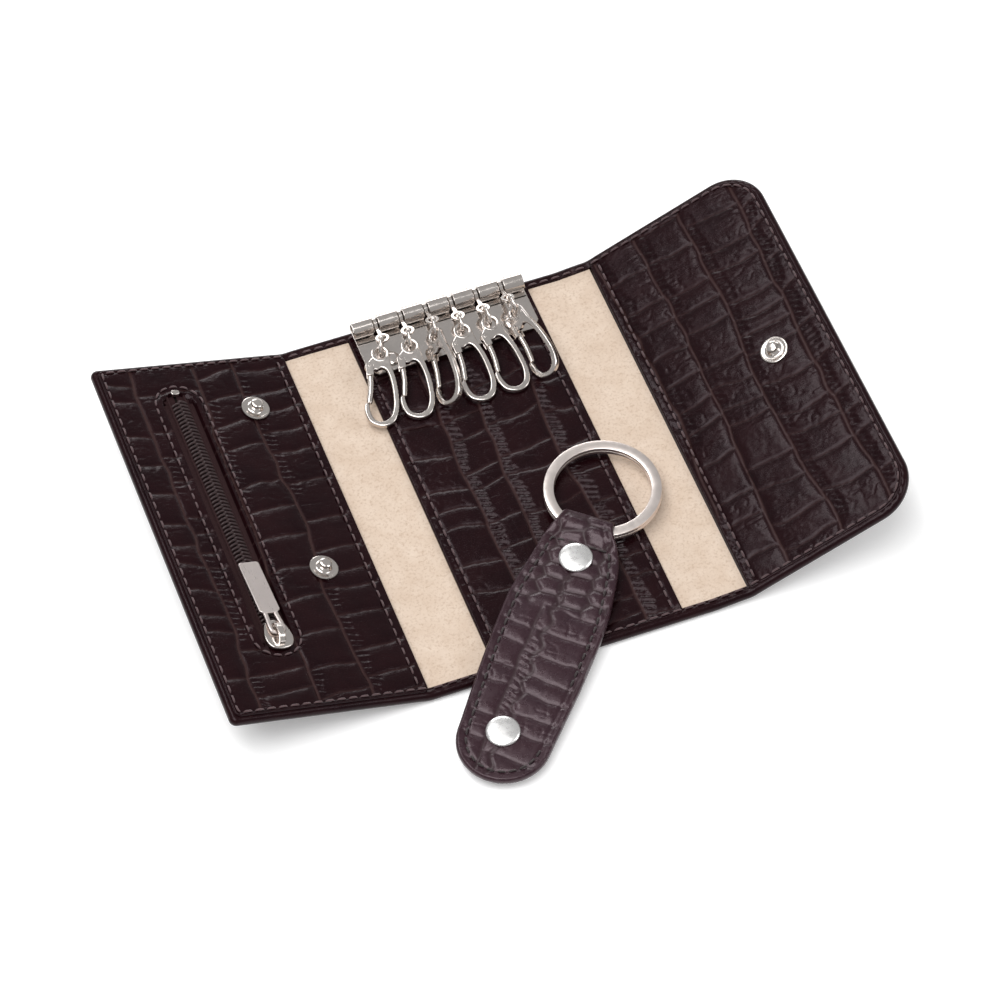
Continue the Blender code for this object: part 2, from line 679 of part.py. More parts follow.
def build_hooks(nickel):
    hanger_shape = hanger_mesh(nickel)
    link_shape = link_mesh(nickel)
    hook_shape = hook_mesh(nickel)
    gate_shape = gate_mesh(nickel)
    for index, (rise, aside, yaw, pitch, twist) in enumerate(HOOK_POSES):
        number = str(index + 1)
        rod = empty("hanger_axis_" + number, None, (hook_x(index), BARREL_Y, BARREL_Z),
                    (-rise, 0, 0))
        piece("hanger_" + number, hanger_shape, rod)
        rise = math.radians(rise)
        hole = Vector((hook_x(index), BARREL_Y - HANGER_REACH * math.cos(rise),
                       BARREL_Z + HANGER_REACH * math.sin(rise)))
        back = math.sqrt((2 * LINK_RADIUS) ** 2 - aside ** 2)
        eye = hole + Vector((aside, -back, 0.0))
        middle = (hole + eye) / 2
        swing = math.degrees(math.atan2(aside, back))
        # the link stands on edge, so its axis lies across the case
        link = empty("link_axis_" + number)
        across = (Matrix.Rotation(math.radians(swing), 4, "Z")
                  @ Matrix.Rotation(math.radians(90), 4, "Y"))
        link.matrix_world = Matrix.Translation(middle * MM) @ across
        piece("link_" + number, link_shape, link)
        bpy.context.view_layer.update()
        hook = empty("hook_axis_" + number)
        turn = (Matrix.Rotation(math.radians(yaw), 4, "Z")
                @ Matrix.Rotation(math.radians(pitch), 4, "X")
                @ Matrix.Rotation(math.radians(twist), 4, "Y"))
        hook.matrix_world = Matrix.Translation(eye * MM) @ turn
        piece("hook_" + number, hook_shape, hook)
        bpy.context.view_layer.update()
        gate = empty("gate_axis_" + number, hook, (*PIVOT, 0.0))
        piece("gate_" + number, gate_shape, gate)


# ---- key fob ---------------------------------------------------------------------------------

def fob_outline():
    """The strap's plan, with its upper cap at the origin and its loop towards +Y."""
    right = [(5.7, FOB_TOP), (6.2, 9.5), (9.3, 4.5), (11.1, -1.0), (12.9, -12.0), (13.4, -20.0),
             (13.2, -36.0)]
    left = [(-11.6, -36.0), (-12.2, -20.0), (-12.0, -12.0), (-10.5, -1.0), (-9.7, 4.5),
            (-7.8, 9.5), (-7.2, FOB_TOP)]
    return (smooth_open(right)[:-1] + arc(FOB_END, FOB_END_RADIUS, 0, -180, 14)
            + smooth_open(left))


def fob_side():
    """The strap seen from its side, as distance along it and height, with the ring's tunnel."""
    end = FOB_END[1] - FOB_END_RADIUS - 1.0
    low, high = LOOP
    middle = (low + high) / 2
    body = [(end, 0.0), (4.5, 0.0), (6.4, low + 0.2), (8.0, low)]
    nose = arc((FOB_TOP - 2.2, middle), (high - low) / 2, -90, 90, 8)
    nose = [(min(y, FOB_TOP), z) for y, z in nose]
    roof = [(8.0, high), (6.6, high - 0.2), (4.6, FOB_THICKNESS), (end, FOB_THICKNESS)]
    return body + nose + roof


def build_fob(frame, ring_frame, leather, nickel, satin):
    plan = slab(fob_outline(), -6.0, 9.0,
                holes=[circle(SHANK_HOLE, (0, y), 16) for y in (0.0, -STUD_SPACING)])
    strap = piece("fob_strap", mesh_of("fob_strap", plan, leather), frame)
    y0, y1, z0, z1 = TUNNEL
    side = mapped(slab(fob_side(), -20.0, 20.0, holes=[rectangle(y0, y1, z0, z1, 0.6)]),
                  lambda y, z, x: (x, y, z))
    cut(strap, side, "INTERSECT", leather)
    for name, y in (("upper", 0.0), ("lower", -STUD_SPACING)):
        button = lathe(cap_profile(FOB_THICKNESS, 0.1, 4.15, 0.8))
        piece("fob_cap_" + name, mesh_of("fob_cap_" + name, shifted(button, 0, y), nickel, True),
              frame)
        socket = lathe(socket_profile(0.0, -GAP + 0.1))
        piece("fob_socket_" + name,
              mesh_of("fob_socket_" + name, shifted(socket, 0, y), nickel, True), frame)
    inner = RING_RADIUS - RING_BAND
    half = RING_THICKNESS / 2
    edge = 0.3
    section = [(inner + edge, -half), (RING_RADIUS - edge, -half), (RING_RADIUS, -half + edge),
               (RING_RADIUS, -0.1), (RING_RADIUS - 0.25, 0.0), (RING_RADIUS, 0.1),
               (RING_RADIUS, half - edge), (RING_RADIUS - edge, half), (inner + edge, half),
               (inner, half - edge), (inner, 0.1), (inner + 0.25, 0.0), (inner, -0.1),
               (inner, -half + edge)]
    piece("fob_ring", mesh_of("fob_ring", hoop(section, 48), satin, True), ring_frame)


def fob_frames():
    frame = empty("fob_frame", None, (*FOB_CAP, FOB_Z))
    frame.rotation_mode = "QUATERNION"
    turn = (Matrix.Rotation(math.radians(FOB_TURN), 3, "Z")
            @ Matrix.Rotation(math.radians(FOB_SLOPE), 3, "X"))
    frame.rotation_quaternion = turn.to_quaternion()
    y, z = RING_PIVOT
    droop = math.radians(-RING_DROOP)
    reach = RING_CENTRE[1] - y
    ring = empty("fob_ring_axis", frame,
                 (RING_CENTRE[0], y + reach * math.cos(droop), z + reach * math.sin(droop)),
                 (-RING_DROOP, 0, 0))
    return frame, ring


# ---- the whole part ----------------------------------------------------------------------------

def case_frames():
    """The four fold lines, each an empty that carries what folds about it."""
    left_fold = empty("left_spine_axis", None, (-centre_reach(LEFT_SPINE), 0, TOP))
    left = empty("left_panel_axis", left_fold, (-LEFT_SPINE, 0, 0), (0, LEFT_TILT, 0))
    right_fold = empty("right_spine_axis", None, (centre_reach(RIGHT_SPINE), 0, TOP),
                       (0, -RIGHT_SPINE_TILT, 0))
    right = empty("right_flap_axis", right_fold, (RIGHT_SPINE, 0, 0),
                  (0, RIGHT_SPINE_TILT - RIGHT_TILT, 0))
    return left_fold, left, right_fold, right


def main():
    clear_scene()
    leather = material("leather", LEATHER)
    suede = material("suede", SUEDE)
    cloth = material("lining_cloth", LINING_CLOTH)
    tape = material("zip_cloth", ZIP_CLOTH)
    nickel = material("nickel", NICKEL)
    satin = material("satin_nickel", SATIN)
    left_fold, left, right_fold, right = case_frames()
    build_centre(leather, suede)
    build_spine("left_spine", left_fold, -LEFT_SPINE + GAP / 2, -GAP / 2, leather, suede)
    build_spine("right_spine", right_fold, GAP / 2, RIGHT_SPINE - GAP / 2, leather, suede)
    build_left(left, leather, cloth, tape)
    build_right(right, leather, cloth)
    build_case_snaps(left, right, nickel)
    slider = empty("zip_slider_axis", left, (-ZIP_CENTRE, SLIDER_Y, PULL_PIVOT_Z - TOP))
    pull = empty("zip_pull_axis", slider, (0, 0, 0), (-PULL_DROOP, 0, 0))
    build_zip(slider, pull, nickel)
    build_key_bar(nickel)
    build_hooks(nickel)
    frame, ring_frame = fob_frames()
    build_fob(frame, ring_frame, leather, nickel, satin)
    bpy.context.view_layer.update()


main()
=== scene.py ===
"""Folding leather key case: the visual model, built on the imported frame. Sizes here are in millimetres."""
import math

import bmesh
import bpy
import numpy as np
from mathutils import Matrix, Vector
from mathutils.geometry import tessellate_polygon


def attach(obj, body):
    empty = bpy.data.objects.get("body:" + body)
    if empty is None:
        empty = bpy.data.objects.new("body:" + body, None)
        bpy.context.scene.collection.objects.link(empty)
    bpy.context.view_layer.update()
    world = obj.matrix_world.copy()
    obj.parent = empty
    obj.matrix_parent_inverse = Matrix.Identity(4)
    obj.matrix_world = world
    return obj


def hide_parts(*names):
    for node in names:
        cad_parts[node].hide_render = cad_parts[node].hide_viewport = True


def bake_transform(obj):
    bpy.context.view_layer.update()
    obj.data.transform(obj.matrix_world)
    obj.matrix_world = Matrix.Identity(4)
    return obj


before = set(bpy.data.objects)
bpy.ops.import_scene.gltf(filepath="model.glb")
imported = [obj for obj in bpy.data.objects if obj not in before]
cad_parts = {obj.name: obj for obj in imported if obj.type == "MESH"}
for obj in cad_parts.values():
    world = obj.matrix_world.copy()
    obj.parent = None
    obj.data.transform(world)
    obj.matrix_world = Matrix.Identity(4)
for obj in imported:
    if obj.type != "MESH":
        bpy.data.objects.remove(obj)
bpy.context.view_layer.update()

MM = 0.001
HALF = 55.0                    # half the case's length
HEM = 2.7                      # width of the leather turned in at the case's edge
OVERLAP = 1.25                 # a panel's edge from the case's edge, where it covers the hem
TOP = 2.9                      # the panels' upper side and the fold lines' height
HEM_TOP = TOP - 0.25
POCKET = 3.3                   # the zip pocket's upper side
BASE = 1.0                     # the cover's inner side, under its layers
LEFT_FOLD, LEFT_HINGE, LEFT_END = -31.6, -40.6, -91.3
RIGHT_FOLD, RIGHT_HINGE, RIGHT_END = 31.8, 40.6, 87.7
LEFT_TILT, SPINE_TILT, FLAP_TILT = 17.3, 5.7, 19.2
SPLIT_LEFT, SPLIT_RIGHT = -36.1, 36.2     # where the cover's pieces meet, in its spines
EASE = 2.5                     # half the width over which the leather turns at a crease
CENTRE = 23.9                  # half the centre panel's width
STITCH = 2.1                   # the border stitches' distance from the case's edge
INSIDE_STITCH = 2.3            # the same along a panel's inner edge
ZIP_X = LEFT_HINGE - 32.0
FLAP_SNAP = (RIGHT_HINGE + 31.8, 1.5, 0.0)
UP, DOWN = (0, 0, 1), (0, 0, -1)


# ---- folding ---------------------------------------------------------------------------------

def smoothstep(t):
    t = np.clip(t, 0.0, 1.0)
    return t * t * (3 - 2 * t)


def turn_y(points, x, z, degrees):
    """Points turned about a line along Y. A positive angle lifts what lies to the right."""
    angle = np.radians(degrees)
    dx, dz = points[:, 0] - x, points[:, 2] - z
    found = points.copy()
    found[:, 0] = x + dx * np.cos(angle) - dz * np.sin(angle)
    found[:, 2] = z + dx * np.sin(angle) + dz * np.cos(angle)
    return found


def fold(points, eased=True):
    """From the case laid out flat to the case as it rests, with its panels standing up."""
    p = np.array(points, float).reshape(-1, 3)

    def share(x, line, sign):
        if eased:
            return smoothstep((sign * (x - line) + EASE) / (2 * EASE))
        return (sign * (x - line) > -0.01).astype(float)

    flat = p[:, 0].copy()
    p = turn_y(p, LEFT_HINGE, TOP, -LEFT_TILT * share(flat, LEFT_HINGE, -1))
    p = turn_y(p, RIGHT_HINGE, TOP, FLAP_TILT * share(flat, RIGHT_HINGE, 1))
    return turn_y(p, RIGHT_FOLD, TOP, SPINE_TILT * share(flat, RIGHT_FOLD, 1))


def rigid(points):
    return fold(points, False)


def folded_point(x):
    """A place on a fold line's level, in metres."""
    return [float(v) * MM for v in rigid([(x, 0.0, TOP)])[0]]


# ---- patterns --------------------------------------------------------------------------------

TILES = 64                     # a pattern's random table repeats after this many cells
FAR = 9.0
BLUR = 0.25
GROOVE = 0.30                  # a groove's half width
RIB_WIDTH, RIB_PITCH = 3.3, 1.75


def noise(x, y, size, seed):
    """Smooth random values from -1 to 1, in cells of the size."""
    table = np.random.default_rng(seed).uniform(-1, 1, (TILES, TILES))
    u, v = x / size, y / size
    i, j = np.floor(u).astype(int), np.floor(v).astype(int)
    fu, fv = smoothstep(u - i), smoothstep(v - j)

    def at(a, b):
        return table[(i + a) % TILES, (j + b) % TILES]

    low = at(0, 0) * (1 - fu) + at(1, 0) * fu
    high = at(0, 1) * (1 - fu) + at(1, 1) * fu
    return low * (1 - fv) + high * fv


def nearest_line(values, borders):
    """The interval each value is in, and its distances to that interval's two ends."""
    index = np.clip(np.searchsorted(borders, values) - 1, 0, len(borders) - 2)
    return index, values - borders[index], borders[index + 1] - values


def scales(x, y, seed, width=12.5, height=8.6):
    """Crocodile scales in wandering columns along Y: (height from 0 to 1, groove from 0 to 1)."""
    rng = np.random.default_rng(seed)
    u = x + 2.2 * noise(x, y, 23.0, seed + 1) + 0.5 * noise(x, y, 5.0, seed + 2)
    borders = np.cumsum(rng.uniform(0.7, 1.3, 60) * width)
    borders -= borders[30] + rng.uniform(0, width)
    column, left, right = nearest_line(u, borders)
    across = np.minimum(left, right)
    middle = (left - right) / 2
    along = np.full(x.shape, FAR)
    shade = np.zeros(x.shape)
    for c in np.unique(column):
        rows = np.cumsum(rng.uniform(0.55, 1.5, 90) * height)
        rows -= rows[45] + rng.uniform(0, height)
        lean, bow = rng.uniform(-0.2, 0.2), rng.uniform(-0.02, 0.02)
        here = column == c
        v = (y + lean * middle + bow * middle ** 2 + 0.8 * noise(x, y, 8.0, seed + 3)
             + 0.25 * noise(x, y, 2.4, seed + 4))[here]
        cell, below, above = nearest_line(v, rows)
        along[here] = np.minimum(below, above)
        shade[here] = np.sin(cell * 12.9898 + c * 78.233)
    along = along + 0.14
    # the distance to the nearest groove, rounded where two grooves meet
    closeness = np.maximum(-np.log(np.exp(-across / BLUR) + np.exp(-along / BLUR)) * BLUR, 0.0)
    groove = np.maximum(np.exp(-(across / GROOVE) ** 2), 0.7 * np.exp(-(along / GROOVE) ** 2))
    shoulder = 1 - np.exp(-(closeness / 0.42) ** 1.5)
    rise = 0.55 * shoulder + 0.45 * (1 - np.exp(-(closeness / 1.5) ** 2))
    # short ribs beside each column's left border, in some stretches of it
    width_here = RIB_WIDTH + 0.8 * noise(x, y, 3.0, seed + 5)
    zone = smoothstep((left - 0.25) / 0.5) * smoothstep((width_here - left) / 1.2)
    zone *= smoothstep(2.2 * noise(x, y, 19.0, seed + 6) + 1.15)
    wave = (y + 0.35 * left + 0.5 * noise(x, y, 4.0, seed + 7)) * math.pi / RIB_PITCH
    ridge = np.abs(np.sin(wave)) ** 0.8
    creases = np.exp(-(noise(x, y * 2.4, 3.2, seed + 8) / 0.10) ** 2)
    creases *= smoothstep(1.5 * noise(x, y, 9.0, seed + 9) + 0.5)
    surface = rise * (0.88 + 0.07 * shade + 0.10 * noise(x, y, 5.0, seed + 10))
    surface -= 0.95 * zone * (1 - ridge) * rise
    return surface - 0.24 * creases * rise - 0.04 * noise(x, y, 0.9, seed + 11), groove


def pebbles(x, y, seed, width=6.2, height=4.6):
    """Small rounded scales, each nearest to one point of a jittered grid: (height, groove)."""
    jitter = np.random.default_rng(seed).uniform(-0.13, 0.13, (2, TILES, TILES))
    u, v = x / width, y / height
    i, j = np.floor(u).astype(int), np.floor(v).astype(int)
    nearest, second = np.full(x.shape, FAR), np.full(x.shape, FAR)
    for a in (-1, 0, 1):
        for b in (-1, 0, 1):
            row, column = (i + a) % TILES, (j + b) % TILES
            px = i + a + 0.5 + jitter[0, row, column]
            py = j + b + 0.5 + jitter[1, row, column] + 0.5 * ((i + a) % 2)
            away = np.hypot(u - px, v - py)
            second = np.minimum(second, np.maximum(away, nearest))
            nearest = np.minimum(nearest, away)
    rim = (second - nearest) * min(width, height) / 2
    surface = (1 - np.exp(-(rim / 0.55) ** 1.4)) * (1.05 - 0.45 * nearest ** 2)
    return surface - 0.05 * noise(x, y, 0.9, seed + 1), np.exp(-(rim / 0.32) ** 2)


# ---- meshes ----------------------------------------------------------------------------------

def to_object(name, points, faces, look, groove=None, merge=False, sharp=None):
    """A visible piece. A leather piece's points also say how deep in a groove they are."""
    mesh = bpy.data.meshes.new(name)
    mesh.from_pydata((np.asarray(points, float) * MM).tolist(), [], faces)
    if groove is not None:
        layer = mesh.attributes.new("groove", "FLOAT", "POINT")
        layer.data.foreach_set("value", np.asarray(groove, np.float32))
    work = bmesh.new()
    work.from_mesh(mesh)
    if merge:
        bmesh.ops.remove_doubles(work, verts=work.verts, dist=2e-6)
        bmesh.ops.dissolve_degenerate(work, edges=work.edges, dist=1e-7)
    bmesh.ops.recalc_face_normals(work, faces=work.faces)
    work.to_mesh(mesh)
    work.free()
    mesh.shade_smooth()
    if sharp:
        mesh.set_sharp_from_angle(angle=math.radians(sharp))
    mesh.materials.append(look)
    made = bpy.data.objects.new(name, mesh)
    bpy.context.scene.collection.objects.link(made)
    return made


def lines(low, high, pitch, at_low=(), at_high=()):
    """Grid lines: given distances from either end, and even spacing between."""
    first = [low + d for d in at_low] or [low]
    last = [high - d for d in at_high] or [high]
    count = max(1, round((last[-1] - first[-1]) / pitch))
    return np.array(sorted(set(np.round([*first, *np.linspace(first[-1], last[-1], count + 1), *last], 4))))


def round_corners(x, y, box, radius, right=True, left=True):
    """Moves a rectangle's corner squares onto quarter discs, so lines along its edges become arcs."""
    x0, x1, y0, y1 = box
    found_x, found_y = x.copy(), y.copy()
    angle = np.zeros(x.shape)
    sides = ([(x1 - radius, 1)] if right else []) + ([(x0 + radius, -1)] if left else [])
    for cx, sx in sides:
        for cy, sy in ((y1 - radius, 1), (y0 + radius, -1)):
            p, q = (x - cx) * sx, (y - cy) * sy
            here = (p > 0) & (q > 0)
            reach = np.maximum(p, q)[here]
            share = np.where(p[here] >= q[here], q[here] / reach, 2 - p[here] / reach)
            turn = share * math.pi / 4
            found_x[here] = cx + sx * reach * np.cos(turn)
            found_y[here] = cy + sy * reach * np.sin(turn)
            angle[here] = turn
    return found_x, found_y, angle


def shell(name, place, top, bottom, look, mapping=None, groove=None, drop=None):
    """A closed sheet on a grid of (x, y) places, from its heights. Where they meet it is welded.

    drop says which faces of the grid, as rows of point numbers, are left out.
    """
    px, py = place
    rows, columns = px.shape
    index = np.arange(rows * columns).reshape(rows, columns)
    corners = [index[:-1, :-1], index[1:, :-1], index[1:, 1:], index[:-1, 1:]]
    quads = np.stack([c.ravel() for c in corners], 1)
    if drop is not None:
        quads = quads[~drop(quads)]
    points = np.concatenate([np.stack([px.ravel(), py.ravel(), h.ravel()], 1) for h in (top, bottom)])
    total = rows * columns
    faces = quads.tolist() + (quads[:, ::-1] + total).tolist()
    edges = {}
    for a, b, c, d in quads.tolist():
        for e in ((a, b), (b, c), (c, d), (d, a)):
            if (e[1], e[0]) in edges:
                del edges[(e[1], e[0])]
            else:
                edges[e] = True
    faces += [[b, a, a + total, b + total] for a, b in edges]
    used = np.zeros(2 * total, bool)
    used[np.array([i for f in faces for i in f])] = True
    renumber = np.cumsum(used) - 1
    faces = [[int(renumber[i]) for i in f] for f in faces]
    points = points[used]
    if mapping is not None:
        points = mapping(points)
    if groove is not None:
        groove = np.tile(groove.ravel(), 2)[used]
    return to_object(name, points, faces, look, groove, merge=True, sharp=60)


def edge_distance(gx, gy, box, sides):
    """Distance to the nearest of a rectangle's free sides, which are named l, r, b and t."""
    x0, x1, y0, y1 = box
    reach = {"l": gx - x0, "r": x1 - gx, "b": gy - y0, "t": y1 - gy}
    return np.minimum.reduce([reach[s] for s in sides])


def rolled(d, radius, thickness):
    """How far a surface has dropped at a distance from its rolled edge."""
    t = np.clip((radius - d) / radius, 0, 1)
    fall = radius * (1 - np.sqrt(np.maximum(0, 1 - t * t)))
    return np.where(d <= 1e-6, thickness, np.minimum(fall, thickness))


def stitch_dent(d, at, deep=0.16):
    """How far a row of stitches has pulled the leather down."""
    return deep * np.exp(-((d - at) / 0.42) ** 2)


# grid lines' distances from a free edge
EDGE = (0, 0.03, 0.12, 0.3, 0.5, 0.75, 1.0, 1.3, 1.6, 1.9, 2.2, 2.5, 2.8)
HEM_EDGE = (0, 0.03, 0.12, 0.3, 0.6, 0.9, 1.2, 1.5, 1.8, 2.05, 2.3, 2.45, 2.58, 2.66, 2.7, 2.72)
HOLE_EDGE = (0, 0.05, 0.15, 0.3, 0.5, 0.8)
PANEL_PITCH, COVER_PITCH, SUEDE_PITCH = 0.36, 0.55, 0.45
GRAIN = 0.60                   # height of a panel's scales
CREST = 0.9                    # what scales() gives on top of a scale


def panel(name, body, box, low, high, look, seed, corner=1.5, corners=(True, True), mapping=None,
          hole=None, dents=(INSIDE_STITCH, INSIDE_STITCH)):
    """A leather panel with rolled edges, a stitched border and crocodile scales.

    corners says which sides, left and right, have round corners; dents how far from those
    sides the stitches lie; hole is a slot's middle x, radius and two ends in y.
    """
    x0, x1, y0, y1 = box
    xs = lines(x0, x1, PANEL_PITCH, EDGE, EDGE)
    if hole:
        cx, radius, cy0, cy1 = hole
        west, east = cx - radius, cx + radius
        xs = xs[(xs < west - 0.9) | (xs > east + 0.9)]
        xs = np.array(sorted([*xs, *(west - d for d in HOLE_EDGE), *(east + d for d in HOLE_EDGE),
                              *np.linspace(west, east, 9)[1:-1]]))
    ys = lines(y0, y1, PANEL_PITCH, EDGE, EDGE)
    gx, gy = np.meshgrid(xs, ys, indexing="ij")
    d = edge_distance(gx, gy, box, "lrbt")
    dent = stitch_dent(edge_distance(gx, gy, box, "bt"), STITCH - OVERLAP)
    dent = np.maximum(dent, stitch_dent(gx - x0, dents[0]))
    dent = np.maximum(dent, stitch_dent(x1 - gx, dents[1]))
    px, py, _ = round_corners(gx, gy, box, corner, corners[1], corners[0])
    drop = None
    if hole:
        # the grid's points on and just inside the slot's edge are moved onto it
        ey = np.clip(py, cy0 + radius, cy1 - radius)
        away = np.hypot(px - cx, py - ey)
        snap = (away < radius + 0.24) & (away >= radius - 0.46)
        factor = radius / np.maximum(away, 1e-6)
        px = np.where(snap, cx + (px - cx) * factor, px)
        py = np.where(snap, ey + (py - ey) * factor, py)
        rim = np.hypot(px - cx, py - np.clip(py, cy0 + radius, cy1 - radius)) - radius
        rim = np.where(rim < 1e-4, 0, rim)
        out = (away < radius - 0.02).ravel()

        def drop(quads):
            return (rim.ravel()[quads] <= 1e-4).all(1) | (out[quads].sum(1) >= 3)

    surface, groove = scales(px, py, seed)
    fade = smoothstep((d - 0.3) / 1.0)
    top = high - rolled(d, 0.45, high - low) + GRAIN * (surface - CREST) * fade - dent
    top += 0.10 * noise(px, py, 13.0, seed + 20) * fade
    border = smoothstep((d - 0.2) / 0.5) * (1 - smoothstep((d - 1.7) / 1.0))
    top -= 0.09 * np.abs(noise(px, py, 0.8, seed + 21)) * border
    if hole:
        soft = smoothstep((rim - 0.3) / 1.2)
        top = high - rolled(rim, 0.5, high - low) + (top - high) * soft - stitch_dent(rim, 2.2)
    bottom = np.full(gx.shape, low)
    made = shell(name, (px, py), top, bottom, look, mapping, groove * fade, drop)
    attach(made, body)
    return made


def cover(name, x0, x1, free, look, corner, replaced):
    """Outer leather: its underside, its rolled edge and its hem, closed by a layer inside.

    free names its sides, l and r, that end at the case's edge.
    """
    box = (x0, x1, -HALF, HALF)
    xs = lines(x0, x1, COVER_PITCH, HEM_EDGE if "l" in free else (), HEM_EDGE if "r" in free else ())
    ys = lines(-HALF, HALF, COVER_PITCH, HEM_EDGE, HEM_EDGE)
    gx, gy = np.meshgrid(xs, ys, indexing="ij")
    d = edge_distance(gx, gy, box, free + "bt")
    px, py, angle = round_corners(gx, gy, box, corner, "r" in free, "l" in free)
    surface, groove = scales(px, py, 11)
    middle = HEM_TOP / 2
    curve = np.sqrt(np.maximum(0, 1 - np.clip((1.2 - d) / 1.2, 0, 1) ** 2))
    fade = smoothstep((d - 0.5) / 1.0)
    bottom = middle - middle * curve - 0.26 * (surface - CREST) * fade + stitch_dent(d, STITCH)
    top = middle + middle * curve + 0.16 * (surface - CREST) * fade - stitch_dent(d, STITCH, 0.20)
    # the gathers where the hem goes round a corner
    gathers = np.sin(angle * 28) * (angle > 0.02) * (angle < 1.55)
    top += 0.13 * gathers * smoothstep((d - 0.3) / 1.2) * (d < HEM)
    inner = np.clip((d - HEM + 0.5) / 0.5, 0, 1)
    top -= 0.45 * (1 - np.sqrt(np.maximum(0, 1 - inner ** 2)))
    top = np.where(d > HEM + 0.01, BASE, top)
    bottom = np.minimum(bottom, top - 0.05 * (d > 0.01))
    hem_groove = groove * fade * np.where(d < HEM, 0.7, 1.0)
    made = shell(name, (px, py), top, bottom, look, fold, hem_groove)
    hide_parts(*replaced)
    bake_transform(made)


def suede_strip(name, x0, x1, look, replaced, seed):
    """A suede strip along a spine, its ends under the hem and its sides under the panels."""
    xs = lines(x0, x1, SUEDE_PITCH)
    under_hem = HALF - HEM + 0.4
    ys = lines(-under_hem, under_hem, SUEDE_PITCH)
    gx, gy = np.meshgrid(xs, ys, indexing="ij")
    nap = 0.05 * noise(gx, gy, 0.8, seed) + 0.05 * noise(gx, gy, 2.3, seed + 1)
    nap += 0.10 * noise(gx, gy, 11.0, seed + 2)
    made = shell(name, (gx, gy), 1.85 + nap, np.full(gx.shape, 1.12), look, fold)
    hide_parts(*replaced)
    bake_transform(made)


def stitches(name, path, look, mapping=None, normal=UP, length=2.3, pitch=2.95):
    """A row of thread stitches along a path of points; each is a small swelling capsule."""
    line = np.asarray(path, float)
    step = np.linalg.norm(np.diff(line, axis=0), axis=1)
    reach = np.concatenate([[0], np.cumsum(step)])
    count = max(1, int(reach[-1] / pitch))
    pitch = reach[-1] / count
    up = Vector(normal)

    def along(distance):
        return Vector([np.interp(distance, reach, line[:, i]) for i in range(3)])

    threads = []
    for k in range(count):
        stations = []
        for s in np.linspace(-0.5, 0.5, 7):
            at = (k + 0.5) * pitch + s * length
            forward = (along(at + 0.05) - along(at - 0.05)).normalized()
            end = (2 * s) ** 4
            swell = math.sqrt(max(0.0, 1 - end))
            radius = 0.27 * (0.35 + 0.65 * swell)
            stations.append((along(at) + up * (0.10 * swell - 0.05 - 0.20 * end),
                             forward.cross(up).normalized() * radius, up * radius * 0.75))
        threads.append(swept(stations, circle(1.0, steps=8)))
    points, faces = union(*threads)
    points = np.array(points)
    if mapping is not None:
        points = mapping(points)
    return to_object(name, points, faces, look)


def circle(radius, centre=(0.0, 0.0), steps=32):
    return [(centre[0] + radius * math.cos(math.tau * i / steps),
             centre[1] + radius * math.sin(math.tau * i / steps)) for i in range(steps)]


def arc(centre, radius, start, end, steps):
    return [(centre[0] + radius * math.cos(math.radians(start + (end - start) * i / steps)),
             centre[1] + radius * math.sin(math.radians(start + (end - start) * i / steps)))
            for i in range(steps + 1)]


def curve_through(points, steps=4, closed=False):
    """Catmull-Rom through the points."""
    if closed:
        row = [points[-1]] + list(points) + list(points[:2])
    else:
        row = [points[0]] + list(points) + [points[-1]]
    found = []
    for a, b, c, d in zip(row, row[1:], row[2:], row[3:]):
        a, b, c, d = (Vector(p) for p in (a, b, c, d))
        for j in range(steps):
            t = j / steps
            found.append(tuple(0.5 * (2 * b + (c - a) * t + (2 * a - 5 * b + 4 * c - d) * t * t
                                      + (3 * b - a - 3 * c + d) * t ** 3)))
    return found if closed else found + [tuple(points[-1])]


def signed_area(loop):
    return sum(a[0] * b[1] - b[0] * a[1] for a, b in zip(loop, loop[1:] + loop[:1])) / 2


def turning_left(loop):
    return loop if signed_area(loop) > 0 else loop[::-1]


def headings(line):
    """The direction of a line of points at each of them."""
    row = [Vector(p) for p in line]
    return [(after - before).normalized() for before, after in zip(row[:1] + row[:-1], row[1:] + row[-1:])]


def inset(loop, distance):
    """A loop that turns left, moved inwards."""
    found = []
    for before, here, after in zip(loop[-1:] + loop[:-1], loop, loop[1:] + loop[:1]):
        one = (Vector(here) - Vector(before)).normalized()
        two = (Vector(after) - Vector(here)).normalized()
        normal = Vector((-one.y - two.y, one.x + two.x))
        if normal.length < 1e-6:
            normal = Vector((-one.y, one.x))
        normal.normalize()
        reach = distance / max(0.6, normal.dot(Vector((-one.y, one.x))))
        found.append((here[0] + normal.x * reach, here[1] + normal.y * reach))
    return found


def slab(outline, low, high, radius, holes=(), steps=4):
    """A plate with rounded edges: (points, faces)."""
    loops = [turning_left(list(outline))] + [turning_left(list(h))[::-1] for h in holes]
    # levels from the underside up, each with how far the outline is drawn in there
    under = [(low, 1.15 * radius)]
    for k in range(steps, -1, -1):
        a = math.radians(90 * k / steps)
        under.append((low + radius * (1 - math.sin(a)), radius * (1 - math.cos(a))))
    if high - low > 2.4 * radius:
        under.append((low + 1.15 * radius, 0.0))
    levels = under + [(low + high - z, d) for z, d in under[::-1]]
    points, faces, starts = [], [], []
    for z, distance in levels:
        row = []
        for loop in loops:
            row.append(len(points))
            points += [(*p, z) for p in (inset(loop, distance) if distance > 1e-6 else loop)]
        starts.append(row)
    for below, above in zip(starts, starts[1:]):
        for loop, a, b in zip(loops, below, above):
            n = len(loop)
            faces += [[a + i, a + (i + 1) % n, b + (i + 1) % n, b + i] for i in range(n)]
    flat = [[Vector((*points[s + i][:2], 0)) for i in range(len(loop))] for loop, s in zip(loops, starts[0])]
    triangles = tessellate_polygon(flat)
    for row in (starts[0], starts[-1]):
        order = [s + i for loop, s in zip(loops, row) for i in range(len(loop))]
        faces += [[order[i] for i in t] for t in triangles]
    return points, faces


